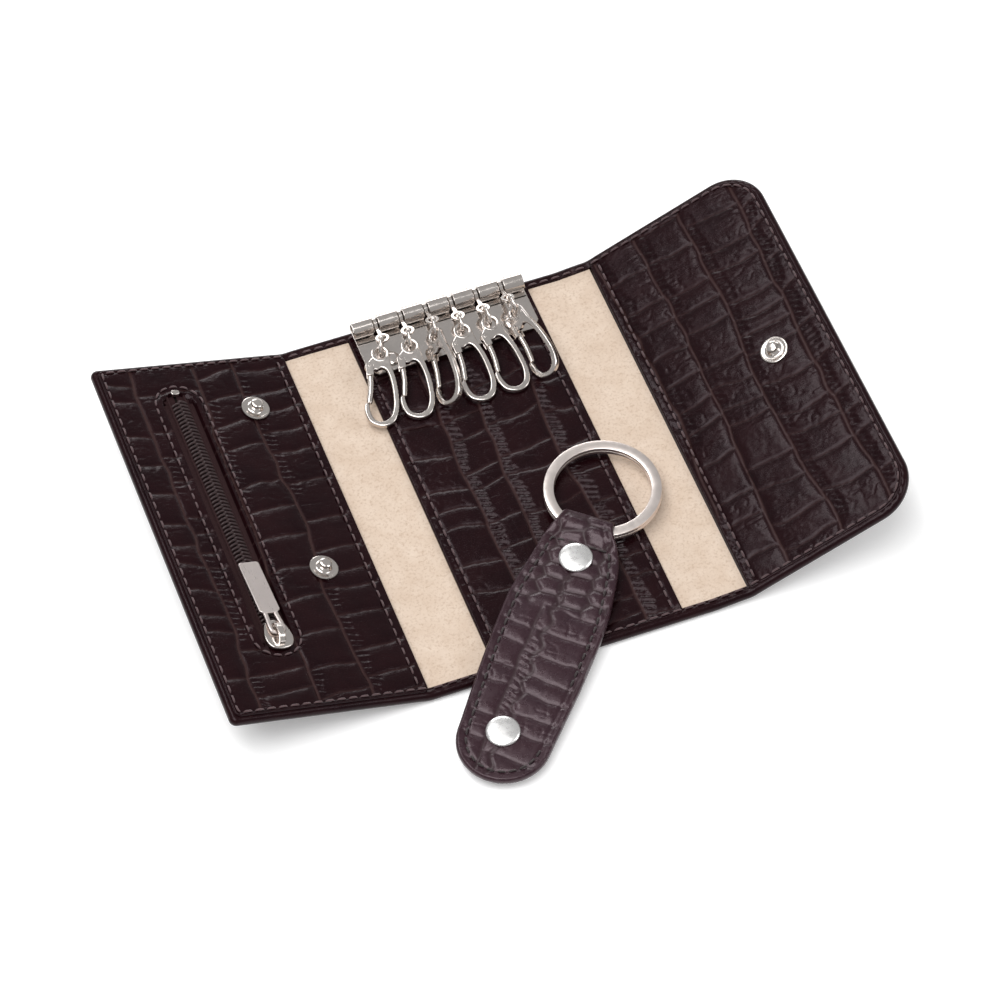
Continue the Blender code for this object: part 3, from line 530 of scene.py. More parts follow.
def lathe(profile, steps=48):
    """A profile of (radius, height) points turned about Z. It starts and ends on the axis."""
    points, faces = [(0.0, 0.0, profile[0][1])], []
    rings = profile[1:-1]
    for r, z in rings:
        points += [(*p, z) for p in circle(r, steps=steps)]
    points.append((0.0, 0.0, profile[-1][1]))
    last = len(points) - 1
    for i in range(steps):
        j = (i + 1) % steps
        faces += [[0, 1 + j, 1 + i], [last, last - steps + i, last - steps + j]]
        for row in range(len(rings) - 1):
            a = 1 + row * steps
            faces.append([a + i, a + j, a + steps + j, a + steps + i])
    return points, faces


def hoop(profile, steps=48):
    """A closed profile of (radius, height) points turned about Z."""
    size = len(profile)
    points, faces = [], []
    for i in range(steps):
        turn = math.tau * i / steps
        points += [(r * math.cos(turn), r * math.sin(turn), z) for r, z in profile]
        a, b = i * size, (i + 1) % steps * size
        faces += [[a + k, b + k, b + (k + 1) % size, a + (k + 1) % size] for k in range(size)]
    return points, faces


def swept(path, section):
    """A section of (side, up) points carried along a path of (position, side, up)."""
    size = len(section)
    points, faces = [], []
    for here, side, up in path:
        points += [tuple(Vector(here) + Vector(side) * s + Vector(up) * u) for s, u in section]
    last = (len(path) - 1) * size
    for a in range(0, last, size):
        faces += [[a + k, a + (k + 1) % size, a + size + (k + 1) % size, a + size + k] for k in range(size)]
    faces += [list(range(size))[::-1], [last + k for k in range(size)]]
    return points, faces


def flat_path(line, widths=None, heights=None):
    """A path for swept() along a line of (x, y) points, widening and thickening as told."""
    line = [(*p, 0) for p in line]
    even = [1.0] * len(line)
    return [(here, (-ahead.y * width, ahead.x * width, 0), (0, 0, height))
            for here, ahead, width, height in zip(line, headings(line), widths or even, heights or even)]


def oval(width, height, steps):
    return [(width * x, height * y) for x, y in circle(1.0, steps=steps)]


def union(*solids):
    """Several solids as one piece of several closed parts."""
    points, faces = [], []
    for some, other in solids:
        start = len(points)
        points += [tuple(p) for p in some]
        faces += [[start + i for i in f] for f in other]
    return points, faces


def moved(solid, place):
    """A solid with its points put where place(x, y, z) says."""
    points, faces = solid
    return [place(*p) for p in points], faces


def hardware(name, solid, matrix, body, look, replaced=None, sharp=32):
    """A metal piece, placed, riding on its body in place of a part of the CAD."""
    points, faces = solid
    placed = [tuple(matrix @ Vector(p)) for p in points]
    made = to_object(name, placed, faces, look, sharp=sharp)
    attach(made, body)
    if replaced:
        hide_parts(replaced)


# ---- materials -------------------------------------------------------------------------------

class Look:
    """A node material whose coordinates are in the row frame, in millimetres.

    Inputs are given by name, with _ for a space, as a value or as another node's output.
    """

    def __init__(self, name):
        self.material = bpy.data.materials.new(name)
        self.material.use_nodes = True
        self.nodes = self.material.node_tree.nodes
        self.links = self.material.node_tree.links
        self.shader = self.nodes["Principled BSDF"]
        place = self.node("TexCoord").outputs["Object"]
        self.place = self.node("Mapping", Vector=place, Scale=(1000, 1000, 1000)).outputs["Vector"]

    def fill(self, node, inputs):
        for key, value in inputs.items():
            socket = node.inputs[key.replace("_", " ")]
            if isinstance(value, bpy.types.NodeSocket):
                self.links.new(value, socket)
            else:
                socket.default_value = value

    def set(self, **inputs):
        self.fill(self.shader, inputs)

    def node(self, kind, setting=None, **inputs):
        node = self.nodes.new("ShaderNode" + kind)
        if setting:
            setattr(node, *setting)
        self.fill(node, inputs)
        return node

    def noise(self, scale, detail=4.0, rough=0.55, stretch=None):
        """Noise with this many cells to a millimetre. It lies mostly between 0.3 and 0.7."""
        place = self.place
        if stretch:
            place = self.node("Mapping", Vector=place, Scale=stretch).outputs["Vector"]
        return self.node("TexNoise", Vector=place, Scale=scale, Detail=detail, Roughness=rough).outputs["Fac"]

    def cells(self, scale):
        node = self.node("TexVoronoi", ("feature", "DISTANCE_TO_EDGE"), Vector=self.place, Scale=scale)
        return node.outputs["Distance"]

    def waves(self, scale, direction):
        node = self.node("TexWave", ("bands_direction", direction), Vector=self.place, Scale=scale,
                         Distortion=0.4)
        return node.outputs["Fac"]

    def attribute(self, name):
        return self.node("Attribute", ("attribute_name", name)).outputs["Fac"]

    def span(self, value, low, high, from_low=0.3, from_high=0.7):
        """A value spread from one range to another."""
        node = self.node("MapRange", Value=value, From_Min=from_low, From_Max=from_high,
                         To_Min=low, To_Max=high)
        return node.outputs["Result"]

    def mix(self, factor, a, b):
        a, b = ((*colour, 1) if isinstance(colour, tuple) else colour for colour in (a, b))
        return self.node("Mix", ("data_type", "RGBA"), Factor=factor, A=a, B=b).outputs["Result"]

    def math(self, operation, a, b):
        node = self.node("Math", ("operation", operation))
        for socket, value in zip(node.inputs, (a, b)):
            self.links.new(value, socket)
        return node.outputs["Value"]

    def bump(self, height, strength, distance):
        """A bump on top of those already there."""
        node = self.node("Bump", Height=height, Strength=strength, Distance=distance * MM)
        normal = self.shader.inputs["Normal"]
        if normal.links:
            self.links.new(normal.links[0].from_socket, node.inputs["Normal"])
        self.links.new(node.outputs["Normal"], normal)


def leather_look(name, gloss, coat, rough_low, rough_high, lift, groove):
    """Oxblood crocodile leather. lift makes its base colour paler as painted sheen, and groove is its colour
    in the grooves.
    """
    look = Look(name)
    look.set(Metallic=0.0, Coat_Weight=coat, Coat_Roughness=0.12, Specular_IOR_Level=gloss,
             Specular_Tint=(1.0, 0.80, 0.86, 1.0))
    # lift is painted sheen: it raises the base colour of leather that catches more light
    dark, pale = ((red + lift, green + 0.4 * lift, blue + 0.7 * lift) for red, green, blue in
                  ((0.0060, 0.0011, 0.0019), (0.0115, 0.0026, 0.0035)))
    tone = look.mix(look.span(look.noise(0.12, 5.0), 0, 1), dark, pale)
    fine = look.mix(look.span(look.noise(3.2, 3.0), 0, 0.4, 0.45, 0.75), tone, (0.0165, 0.0065, 0.0075))
    look.set(Base_Color=look.mix(look.span(look.attribute("groove"), 0, 0.7, 0, 1), fine, groove))
    rough = look.span(look.noise(0.9, 4.0), rough_low, rough_high)
    look.set(Roughness=look.math("ADD", rough, look.span(look.attribute("groove"), 0.0, 0.28, 0, 1)))
    look.bump(look.noise(0.7, 6.0, 0.6, (0.6, 3.4, 1.0)), 0.30, 0.26)
    look.bump(look.span(look.cells(2.6), 0, 1, 0.0, 0.16), 0.12, 0.06)
    return look.material


def suede_look():
    look = Look("cream_suede")
    look.set(Sheen_Weight=0.35, Sheen_Roughness=0.5, Specular_IOR_Level=0.2)
    broad = look.mix(look.span(look.noise(0.20), 0, 1), (0.590, 0.465, 0.365), (0.665, 0.545, 0.445))
    speckle = look.span(look.noise(1.5, 5.0, 0.72), 0, 0.9, 0.50, 0.68)
    look.set(Base_Color=look.mix(speckle, broad, (0.46, 0.340, 0.250)))
    look.set(Roughness=look.span(look.noise(1.0), 0.85, 1.0))
    look.bump(look.noise(4.0, 6.0, 0.7), 0.55, 0.20)
    look.bump(look.noise(0.8, 3.0), 0.3, 0.3)
    return look.material


def metal_look(name, colour, low, high, brushed=None):
    look = Look(name)
    look.set(Metallic=1.0)
    pale = tuple(min(1.0, c * 1.08) for c in colour)
    look.set(Base_Color=look.mix(look.noise(0.35, 3.0), colour, pale))
    grain = look.noise(0.8, 4.0, 0.6, brushed)
    look.set(Roughness=look.span(grain, low, high))
    look.bump(look.noise(2.0, 3.0, 0.5, brushed), 0.012 if brushed is None else 0.08, 0.03)
    return look.material


def cloth_look(name, dark, light, pitch):
    look = Look(name)
    look.set(Specular_IOR_Level=0.12)
    weave = look.math("MULTIPLY", look.waves(pitch, "X"), look.waves(pitch, "Y"))
    look.set(Base_Color=look.mix(look.span(weave, 0, 1, 0.0, 0.7), dark, light))
    look.set(Roughness=look.span(look.noise(2.0), 0.7, 0.95))
    look.bump(weave, 0.8, 0.16)
    return look.material


def thread_look(name, dark, light):
    look = Look(name)
    look.set(Sheen_Weight=0.2)
    look.set(Base_Color=look.mix(look.noise(2.2), dark, light))
    look.set(Roughness=look.span(look.noise(3.0), 0.45, 0.7))
    look.bump(look.waves(1.8, "DIAGONAL"), 0.7, 0.1)
    return look.material


def coil_look():
    look = Look("zip_coil_nylon")
    look.set(Specular_IOR_Level=0.25)
    look.set(Base_Color=look.mix(look.noise(0.9), (0.020, 0.011, 0.012), (0.046, 0.027, 0.027)))
    look.set(Roughness=look.span(look.noise(1.5), 0.28, 0.45))
    look.bump(look.noise(2.5, 3.0), 0.2, 0.05)
    return look.material


# ---- the case --------------------------------------------------------------------------------

def crease(a, b, line, sign):
    """Two bodies, and where the leather between them starts and stops to turn."""
    return (a, b, folded_point(line - sign * EASE), folded_point(line + sign * EASE))


TO_LEFT_SPINE = crease("centre", "left_spine", LEFT_FOLD, -1)
TO_RIGHT_SPINE = crease("centre", "right_spine", RIGHT_FOLD, 1)
TO_LEFT = crease("left_spine", "left_panel", LEFT_HINGE, -1)
TO_RIGHT = crease("right_spine", "right_flap", RIGHT_HINGE, 1)


def build_leather(leather, suede, cloth):
    cover("outer_leather_centre_left", SPLIT_LEFT, 0.0, "", leather, 1.0,
          ("cover_centre", "cover_left_spine"))
    cover("outer_leather_centre_right", 0.0, SPLIT_RIGHT, "", leather, 1.0,
          ("cover_right_spine",))
    cover("outer_leather_left", LEFT_END, SPLIT_LEFT, "l", leather, 1.8, ("cover_left",))
    cover("outer_leather_right", SPLIT_RIGHT, RIGHT_END, "r", leather, 11.0, ("cover_right",))
    suede_strip("suede_left", LEFT_HINGE + 0.25, -CENTRE + 1.0, suede,
                ("lining_centre", "lining_left_spine"), 31)
    suede_strip("suede_right", CENTRE - 1.0, RIGHT_HINGE - 0.2, suede,
                ("lining_right_spine",), 35)
    inner = HALF - OVERLAP
    free = STITCH - OVERLAP
    centre = panel("leather_centre", "centre", (-CENTRE, CENTRE, -inner, inner), 1.95, TOP, leather, 41)
    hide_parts("centre_panel")
    pocket = panel("leather_pocket", "left_panel", (LEFT_END + OVERLAP, LEFT_HINGE - 0.1, -inner, inner),
                   2.2, POCKET, leather, 53, mapping=rigid, dents=(free, INSIDE_STITCH),
                   hole=(ZIP_X, 4.0, -36.0, 44.3))
    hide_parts("pocket_panel")
    flap = panel("leather_flap", "right_flap", (RIGHT_HINGE + 0.1, RIGHT_END - OVERLAP, -inner, inner),
                 1.95, TOP, leather, 67, 9.7, (False, True), rigid, dents=(INSIDE_STITCH, free))
    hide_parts("right_panel")
    for node in ("pocket_lining", "lining_right"):
        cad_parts[node].data.materials.clear()
        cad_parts[node].data.materials.append(cloth)


def build_stitching(thread):
    edge = HALF - STITCH
    on_panel, on_pocket, on_hem = TOP + 0.02, POCKET + 0.02, HEM_TOP + 0.02
    underside = ("_under", 0.25, DOWN)

    def row(name, body, path, mapping=None, **more):
        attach(stitches(name, path, thread, mapping, **more), body)

    def blended(name, x0, x1):
        for side, y in (("top", edge), ("bottom", -edge)):
            for level, z, normal in (("", on_hem, UP), underside):
                made = stitches(f"{name}_{side}{level}", [(x0, y, z), (x1, y, z)], thread, fold, normal)
                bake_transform(made)

    blended("stitches_centre_left", SPLIT_LEFT, -CENTRE)
    blended("stitches_centre_right", CENTRE, SPLIT_RIGHT)
    for level, z, normal in (("", on_panel, UP), underside):
        for side, y in (("top", edge), ("bottom", -edge)):
            row(f"stitches_centre_{side}{level}", "centre", [(-CENTRE, y, z), (CENTRE, y, z)], normal=normal)
    for name, body, ends, split, hinge, end, radius, top in (
            ("left", "left_panel", TO_LEFT, SPLIT_LEFT, LEFT_HINGE, LEFT_END, 1.0, on_pocket),
            ("right", "right_flap", TO_RIGHT, SPLIT_RIGHT, RIGHT_HINGE, RIGHT_END, 8.9, on_panel)):
        sign = 1 if end > split else -1
        middle = end - sign * (STITCH + radius)
        blended("stitches_" + name, split, hinge - sign * 0.3)
        for level, z, normal in (("", top, UP), underside):
            path = [(hinge + sign * 0.3, edge, z)]
            path += [(middle + sign * radius * math.sin(a), edge - radius + radius * math.cos(a), z)
                     for a in np.linspace(0, math.pi / 2, 9)]
            path += [(x, -y, z) for x, y, _ in path[::-1]]
            row(f"stitches_{name}_edge{level}", body, path, rigid, normal=normal)
    y = edge - 1.2
    for name, body, x, z in (("centre_a", "centre", -CENTRE + INSIDE_STITCH, on_panel),
                             ("centre_b", "centre", CENTRE - INSIDE_STITCH, on_panel),
                             ("pocket", "left_panel", LEFT_HINGE - 2.4, on_pocket),
                             ("flap", "right_flap", RIGHT_HINGE + 2.4, on_panel)):
        row("stitches_" + name, body, [(x, -y, z), (x, y, z)], rigid)
    ring = arc((ZIP_X, 40.3), 6.2, 0, 180, 12) + arc((ZIP_X, -32.0), 6.2, 180, 360, 12)
    ring = [(*p, on_pocket) for p in ring + ring[:1]]
    row("stitches_zip", "left_panel", ring, rigid, pitch=2.7, length=2.1)


def stud(surface, back):
    """A press stud on a surface, with its washer on the leather's other side."""
    washer = [(0, back), (2.9, back), (2.9, back + 0.3), (1.0, back + 0.3)]
    head = [(1.0, -0.1), (3.2, -0.08), (3.5, 0.05), (3.6, 0.24), (3.52, 0.42), (3.3, 0.50), (3.05, 0.46),
            (2.7, 0.38), (2.2, 0.38), (1.95, 0.46), (1.75, 0.64), (1.6, 0.88), (1.45, 1.05), (1.28, 1.2),
            (1.26, 1.5), (1.42, 1.8), (1.52, 2.02), (1.45, 2.24), (1.2, 2.42), (0.8, 2.52), (0.4, 2.56),
            (0, 2.57)]
    return lathe(washer + [(r, surface + z) for r, z in head])


def socket(base, depth):
    """A press stud's other half, below its base."""
    low = base - depth
    cup = [(1.85, 0.2), (2.0, 0.04), (2.3, 0), (2.75, 0.06), (3.1, 0.25), (3.25, 0.55)]
    rim = [(3.55, -0.5), (3.85, -0.42), (4.0, -0.25), (3.95, -0.05), (3.6, 0.02), (0.9, 0.02), (0.9, 0.3),
           (0, 0.3)]
    return lathe([(0, base - 0.5), (1.75, base - 0.5)] + [(r, low + z) for r, z in cup]
                 + [(r, base + z) for r, z in rim])


def dome(base, radius, rise):
    """A press stud's cap."""
    edge = [(0, -0.3), (0.9, -0.3), (0.9, 0), (radius - 0.3, 0), (radius - 0.05, 0.08), (radius, 0.2)]
    crown = [(radius * math.cos(a) ** 0.8, 0.28 + (rise - 0.28) * math.sin(a))
             for a in np.linspace(0.1, 1.5, 9)]
    return lathe([(r, base + z) for r, z in edge + crown + [(0, rise)]], 56)


def fold_matrix(x, y, z):
    """Placement on a folded panel of a piece drawn about its own Z axis, from a flat position."""
    origin, right, up = (Vector(p) for p in rigid([(x, y, z), (x + 0.005, y, z), (x, y, z + 0.01)]))
    up = (up - origin).normalized()
    right -= origin
    right = (right - up * right.dot(up)).normalized()
    return Matrix.Translation(origin) @ Matrix((right, up.cross(right), up)).transposed().to_4x4()


def build_snaps(nickel):
    for name, y in (("stud_upper", 37.0), ("stud_lower", -14.2)):
        at = fold_matrix(LEFT_HINGE - 13.3, y, 0)
        hardware(name + "_turned", stud(POCKET, 2.0), at, "left_panel", nickel, name)
    at = fold_matrix(LEFT_HINGE - 29.4, 1.5, 0)
    hardware("closing_socket_turned", socket(0.0, 1.5), at, "left_panel", nickel, "closing_socket")
    at = fold_matrix(*FLAP_SNAP)
    hardware("flap_stud_turned", stud(TOP, 1.4), at, "right_flap", nickel, "flap_stud")
    at = at @ Matrix.Rotation(math.pi, 4, "X")
    hardware("flap_cap_turned", dome(0.05, 4.8, 1.2), at, "right_flap", nickel, "flap_cap")


# ---- zip -------------------------------------------------------------------------------------

TAPE_TOP = 2.15
TOOTH_PITCH = 1.15
# one loop of the coil: across from the zip's middle, along it, and up
TOOTH = [(2.05, -0.42, 2.35), (1.95, -0.40, 2.75), (1.5, -0.28, 3.1), (0.9, -0.12, 3.25), (0.3, 0.02, 3.3),
         (-0.05, 0.12, 3.1), (-0.12, 0.16, 2.75), (0.15, 0.2, 2.45)]


def build_zip(tape, coil):
    """The tapes, the coils' loops, and the cords that run through them."""
    loop = curve_through(TOOTH, 2)
    for name, sign in (("inner", 1), ("outer", -1)):
        xs = lines(*sorted((ZIP_X + sign * 0.35, ZIP_X + sign * 6.5)), 0.3)
        gx, gy = np.meshgrid(xs, lines(-38.4, 46.7, 0.5), indexing="ij")
        rib = 0.05 * np.sin(gx * 9.0) + 0.03 * noise(gx, gy, 3.0, 71)
        strip = shell(f"zip_tape_{name}_woven", (gx, gy), TAPE_TOP + rib * 0.8, np.full(gx.shape, 1.9), tape,
                      rigid)
        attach(strip, "left_panel")
        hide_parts("zip_tape_" + name)
        teeth = []
        for k in range(int(78.0 / TOOTH_PITCH)):
            y = -35.0 + (k + (0.5 if sign > 0 else 0)) * TOOTH_PITCH
            path = [Vector((ZIP_X + sign * x, y + dy, z)) for x, dy, z in loop]
            stations = []
            for here, forward in zip(path, headings(path)):
                side = Vector((0, 1, 0))
                side = (side - forward * side.dot(forward)).normalized()
                stations.append((here, side, forward.cross(side)))
            teeth.append(swept(stations, circle(0.33, steps=7)))
        points, faces = union(*teeth)
        row = to_object(f"zip_coil_{name}_loops", rigid(np.array(points)), faces, coil)
        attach(row, "left_panel")
        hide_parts("zip_coil_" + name)
    cords = []
    for x in (ZIP_X + 2.25, ZIP_X - 2.25):
        path = [((x, y, 2.5 + 0.05 * math.sin(y * 5)), (1, 0, 0), UP) for y in np.linspace(-36.5, 44.5, 82)]
        cords.append(swept(path, circle(0.32, steps=8)))
    points, faces = union(*cords)
    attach(to_object("zip_coil_stitching", rigid(np.array(points)), faces, tape), "left_panel")


def build_slider(nickel, satin):
    """The slider with its crown over the pull tab's fork, and the stop at the zip's other end."""
    stop = slab(curve_through([(-0.9, -0.6), (0.9, -0.6), (0.9, 0.6), (-0.9, 0.6)], 5, True), 2.3, 3.5, 0.25)
    hardware("zip_end_stop", stop, fold_matrix(ZIP_X, 44.6, 0), "left_panel", nickel)
    at = fold_matrix(ZIP_X, -32.6, 0)
    outline = curve_through([(0, -4.5), (2.5, -3.8), (3.5, -1.6), (3.1, 1.1), (2.1, 3.3), (0, 4.1),
                             (-2.1, 3.3), (-3.1, 1.1), (-3.5, -1.6), (-2.5, -3.8)], 5, True)
    body = slab(outline, 3.72, 4.62, 0.3)
    wings = [slab(curve_through([(s * 2.3, -1.3), (s * 2.9, -1.3), (s * 2.9, 1.6), (s * 2.3, 1.6)], 3, True),
                  2.5, 4.2, 0.1) for s in (1, -1)]
    spine = curve_through([(-3.2, 4.3), (-3.0, 5.4), (-2.0, 6.3), (-0.4, 6.65), (1.2, 6.2), (2.2, 5.3),
                           (2.7, 4.4)], 5)
    spine = [(0, y, z) for y, z in spine]
    right = Vector((1, 0, 0))
    stations = [(here, right, right.cross(forward)) for here, forward in zip(spine, headings(spine))]
    section = ((-1, -0.6), (-0.8, -1), (0.8, -1), (1, -0.6), (1, 0.6), (0.8, 1), (-0.8, 1), (-1, 0.6))
    crown = swept(stations, [(x * 0.75, y * 0.28) for x, y in section])
    hardware("zip_slider_body", union(body, *wings, crown), at, "zip_slider", nickel, "zip_slider")
    droop = Matrix.Translation((0, 0, 5.35)) @ Matrix.Rotation(math.radians(-3.6), 4, "X")
    plate = ([(-1.6, 5.6), (1.6, 5.6)] + arc((2.0, 6.7), 0.6, -50, 0, 3) + arc((1.9, 21.3), 0.7, 0, 90, 4)
             + arc((-1.9, 21.3), 0.7, 90, 180, 4) + arc((-2.0, 6.7), 0.6, 180, 230, 3))
    ring = curve_through([(-1.3, 6.3), (-1.35, 4.4), (-1.55, 2.4), (-1.5, 0.5), (-1.0, -0.1), (0, -0.25),
                          (1.0, -0.1), (1.5, 0.5), (1.55, 2.4), (1.35, 4.4), (1.3, 6.3)], 4)
    fork = swept(flat_path(ring), oval(0.58, 0.38, 10))
    tab = union(slab(plate, -0.4, 0.4, 0.16), fork)
    hardware("zip_pull_tab", tab, at @ droop, "zip_pull", satin, "zip_pull")


# ---- key bar and hooks -----------------------------------------------------------------------

BAR_Y, BAR_Z = 52.7, 5.5       # the barrel's axis
BARREL, BORE = 2.3, 1.5        # its radii
BAR_HALF = 22.6                # half the bar's length
BAR_LOW, BAR_HIGH = 3.2, 4.0   # the bar plate's two sides
ROD = 0.75
REACH = 6.28                   # from the rod to a hanger's hole
PITCH = 6.66                   # from one hook to the next
EYE = 1.35
GATE_PIN = (-2.9, -3.3)
LINK, LINK_WIRE = 2.6, 0.45    # a link ring's radius and its wire's
# each hook's hanger rise, eye offset, yaw, pitch and twist
POSES = ((15.5, -2.25, -15.0, 9.4, 0.0), (15.5, -1.20, -9.6, 9.4, 0.0), (24.6, -0.97, -5.7, 3.0, -47.0),
         (15.5, -0.70, -1.4, 9.4, 0.0), (15.5, 0.00, 3.8, 9.4, 0.0), (24.6, 0.30, 7.7, 3.0, -47.0))


def build_key_bar(nickel):
    join = BAR_Y - 3.3
    plate = [(-20.4, 38.7), (20.4, 38.7), (BAR_HALF, 40.9), (BAR_HALF, join), (-BAR_HALF, join),
             (-BAR_HALF, 40.9)]
    rounded = []
    for before, here, after in zip(plate[-1:] + plate[:-1], plate, plate[1:] + plate[:1]):
        a, h, b = Vector(before), Vector(here), Vector(after)
        rounded += [tuple(h + (a - h).normalized() * 0.5), tuple(h + (a + b - 2 * h).normalized() * 0.12),
                    tuple(h + (b - h).normalized() * 0.5)]
    parts = [slab(rounded, BAR_LOW, BAR_HIGH, 0.15)]
    curl = ([(join - 0.5, BAR_LOW)] + arc((BAR_Y, BAR_Z), BARREL, -90, 210, 44)
            + arc((BAR_Y, BAR_Z), BORE, 210, -90, 36) + [(join - 0.5, BAR_HIGH)])
    slots = [(i - 2.5) * PITCH for i in range(len(POSES))]
    for a, b in zip([-BAR_HALF] + [x + 0.75 for x in slots], [x - 0.75 for x in slots] + [BAR_HALF]):
        parts.append(moved(slab(curl, a, b, 0.14, steps=3), lambda y, z, x: (x, y, z)))
    hardware("key_bar_rolled", union(*parts), Matrix(), "centre", nickel, "key_bar")
    rod = moved(slab(circle(ROD, steps=24), -22.3, 22.3, 0.2), lambda a, b, c: (c, a + BAR_Y, b + BAR_Z))
    hardware("hanger_rod_round", rod, Matrix(), "centre", nickel, "hanger_rod")
    rivet = lathe([(0, 1.4), (2.5, 1.4), (2.5, 1.8), (1.0, 1.8), (1.0, 3.95), (2.0, 3.98), (2.15, 4.12),
                   (2.05, 4.35), (1.7, 4.6), (1.1, 4.78), (0.5, 4.84), (0, 4.86)], 40)
    for name, x in (("bar_rivet_left", -16.0), ("bar_rivet_right", 16.0)):
        hardware(name + "_domed", rivet, Matrix.Translation((x, 42.1, 0)), "centre", nickel, name)


def hook_solid():
    """A snap hook about its eye, without its gate, hanging towards -Y."""
    inner = [(-1.0, -4.5), (0.1, -4.0), (1.2, -4.9), (2.0, -8.0), (2.25, -12.0), (2.05, -15.3), (1.0, -17.9),
             (-0.8, -18.9), (-2.7, -18.2), (-3.6, -16.2), (-3.8, -13.8)]
    outer = [(-4.3, -13.35), (-4.9, -13.8), (-5.0, -16.2), (-3.9, -18.9), (-0.9, -20.3), (1.9, -19.3),
             (3.3, -16.2), (3.6, -12.0), (3.3, -7.5), (2.5, -3.5)]
    outline = (arc((0, 0), 2.2, 0, 200, 18) + arc(GATE_PIN, 1.25, 150, 300, 10)
               + curve_through(inner, 5) + curve_through(outer, 5))
    holes = [circle(EYE, steps=28), circle(0.7, GATE_PIN, 18)]
    rim = hoop([(EYE + 0.62 + x, 0.62 + z) for x, z in oval(0.30, 0.22, 8)], 32)
    return union(slab(outline, -0.7, 0.7, 0.34, holes), rim)


def gate_solid():
    """A hook's gate about its pin."""
    line = curve_through([(0, -1.1), (0, -3.5), (-0.15, -6.0), (-0.6, -8.6), (-0.95, -10.4)], 5)
    last = len(line) - 1
    widths = [0.78 * min(1.0, 0.25 + 0.75 * math.sqrt(min(i, last - i) / 2.5)) for i in range(last + 1)]
    heights = [0.72 * min(1.0, width / 0.5) for width in widths]
    finger = swept(flat_path(line, widths, heights), circle(1.0, steps=12))
    cheek = arc((0, 0), 0.95, 0, 180, 14) + [(-0.85, -2.6), (0.85, -2.6)]
    cheeks = [slab(cheek, *ends, 0.08, steps=2) for ends in ((-1.16, -0.88), (0.88, 1.16))]
    return union(finger, *cheeks, slab(circle(0.42, steps=16), -1.28, 1.28, 0.1))


def hanger_solid():
    """A hanger about the rod: a collar and a strip with a hole."""
    collar = hoop([(1.1, -0.42), (1.18, -0.5), (1.68, -0.5), (1.8, -0.4), (1.8, 0.4), (1.68, 0.5),
                   (1.18, 0.5), (1.1, 0.42)], 36)
    strip = slab([(0.5, -1.4)] + arc((0, -REACH), 1.75, 73, -253, 30) + [(-0.5, -1.4)], -0.25, 0.25, 0.12,
                 [circle(1.0, (0, -REACH), 24)], 3)
    return union(moved(collar, lambda x, y, z: (z, x, y)), strip)


def build_hooks(nickel):
    """Six sets of a hanger on the rod, a link ring, a snap hook and its gate."""
    shapes = {"hanger": hanger_solid(), "hook": hook_solid(), "gate": gate_solid(),
              "link": hoop([(LINK + x, y) for x, y in circle(LINK_WIRE, steps=14)])}
    for index, (rise, aside, yaw, pitch, twist) in enumerate(POSES):
        n = str(index + 1)
        x = (index - 2.5) * PITCH
        a = math.radians(rise)
        rod = Matrix.Translation((x, BAR_Y, BAR_Z)) @ Matrix.Rotation(-a, 4, "X")
        hole = Vector((x, BAR_Y - REACH * math.cos(a), BAR_Z + REACH * math.sin(a)))
        back = math.sqrt((2 * LINK) ** 2 - aside ** 2)
        eye = hole + Vector((aside, -back, 0))
        across = Matrix.Rotation(math.atan2(aside, back), 4, "Z") @ Matrix.Rotation(math.pi / 2, 4, "Y")
        turn = (Matrix.Rotation(math.radians(yaw), 4, "Z") @ Matrix.Rotation(math.radians(pitch), 4, "X")
                @ Matrix.Rotation(math.radians(twist), 4, "Y"))
        hook = Matrix.Translation(eye) @ turn
        places = {"hanger": rod, "link": Matrix.Translation((hole + eye) / 2) @ across, "hook": hook,
                  "gate": hook @ Matrix.Translation((*GATE_PIN, 0))}
        for kind, place in places.items():
            body = ("hook_" if kind == "link" else kind + "_") + n
            node = f"{kind}_{n}"
            hardware(node + "_polished", shapes[kind], place, body, nickel, node, sharp=40)


# ---- key fob ---------------------------------------------------------------------------------

FOB = (Matrix.Translation((4.4, -32.4, 4.75)) @ Matrix.Rotation(math.radians(-40.4), 4, "Z")
       @ Matrix.Rotation(math.radians(2.45), 4, "X"))
FOB_PITCH = 0.31
FOB_STITCH = 2.4               # the stitches' distance from the strap's edge
RING_WIDE, RING_MIDDLE, RING_DROOP = -0.7, 12.5, -2.4
TURNS, TURN_STEPS = 2, 220


def on_fob(points):
    return np.array([tuple(FOB @ Vector(p)) for p in points])


def fob_outline():
    right = [(5.7, 12.9), (6.2, 9.5), (9.3, 4.5), (11.1, -1.0), (12.9, -12.0), (13.4, -20.0), (13.2, -36.0)]
    left = [(-11.6, -36.0), (-12.2, -20.0), (-12.0, -12.0), (-10.5, -1.0), (-9.7, 4.5), (-7.8, 9.5),
            (-7.2, 12.9)]
    return curve_through(right, 8)[:-1] + arc((0.9, -52.8), 11.4, 0, -180, 60) + curve_through(left, 8)


def outline_distance(px, py, loop):
    """Signed distance from a loop, negative inside, and the nearest point on it."""
    best = np.full(px.shape, np.inf)
    nx, ny = px.copy(), py.copy()
    inside = np.zeros(px.shape, bool)
    for (ax, ay), (bx, by) in zip(loop, loop[1:] + loop[:1]):
        ex, ey = bx - ax, by - ay
        t = np.clip(((px - ax) * ex + (py - ay) * ey) / max(ex * ex + ey * ey, 1e-12), 0, 1)
        qx, qy = ax + t * ex, ay + t * ey
        away = (px - qx) ** 2 + (py - qy) ** 2
        closer = away < best
        best = np.where(closer, away, best)
        nx, ny = np.where(closer, qx, nx), np.where(closer, qy, ny)
        crosses = ((ay > py) != (by > py)) & (px < (bx - ax) * (py - ay) / ((by - ay) or 1e-12) + ax)
        inside ^= crosses
    return np.where(inside, -1, 1) * np.sqrt(best), nx, ny


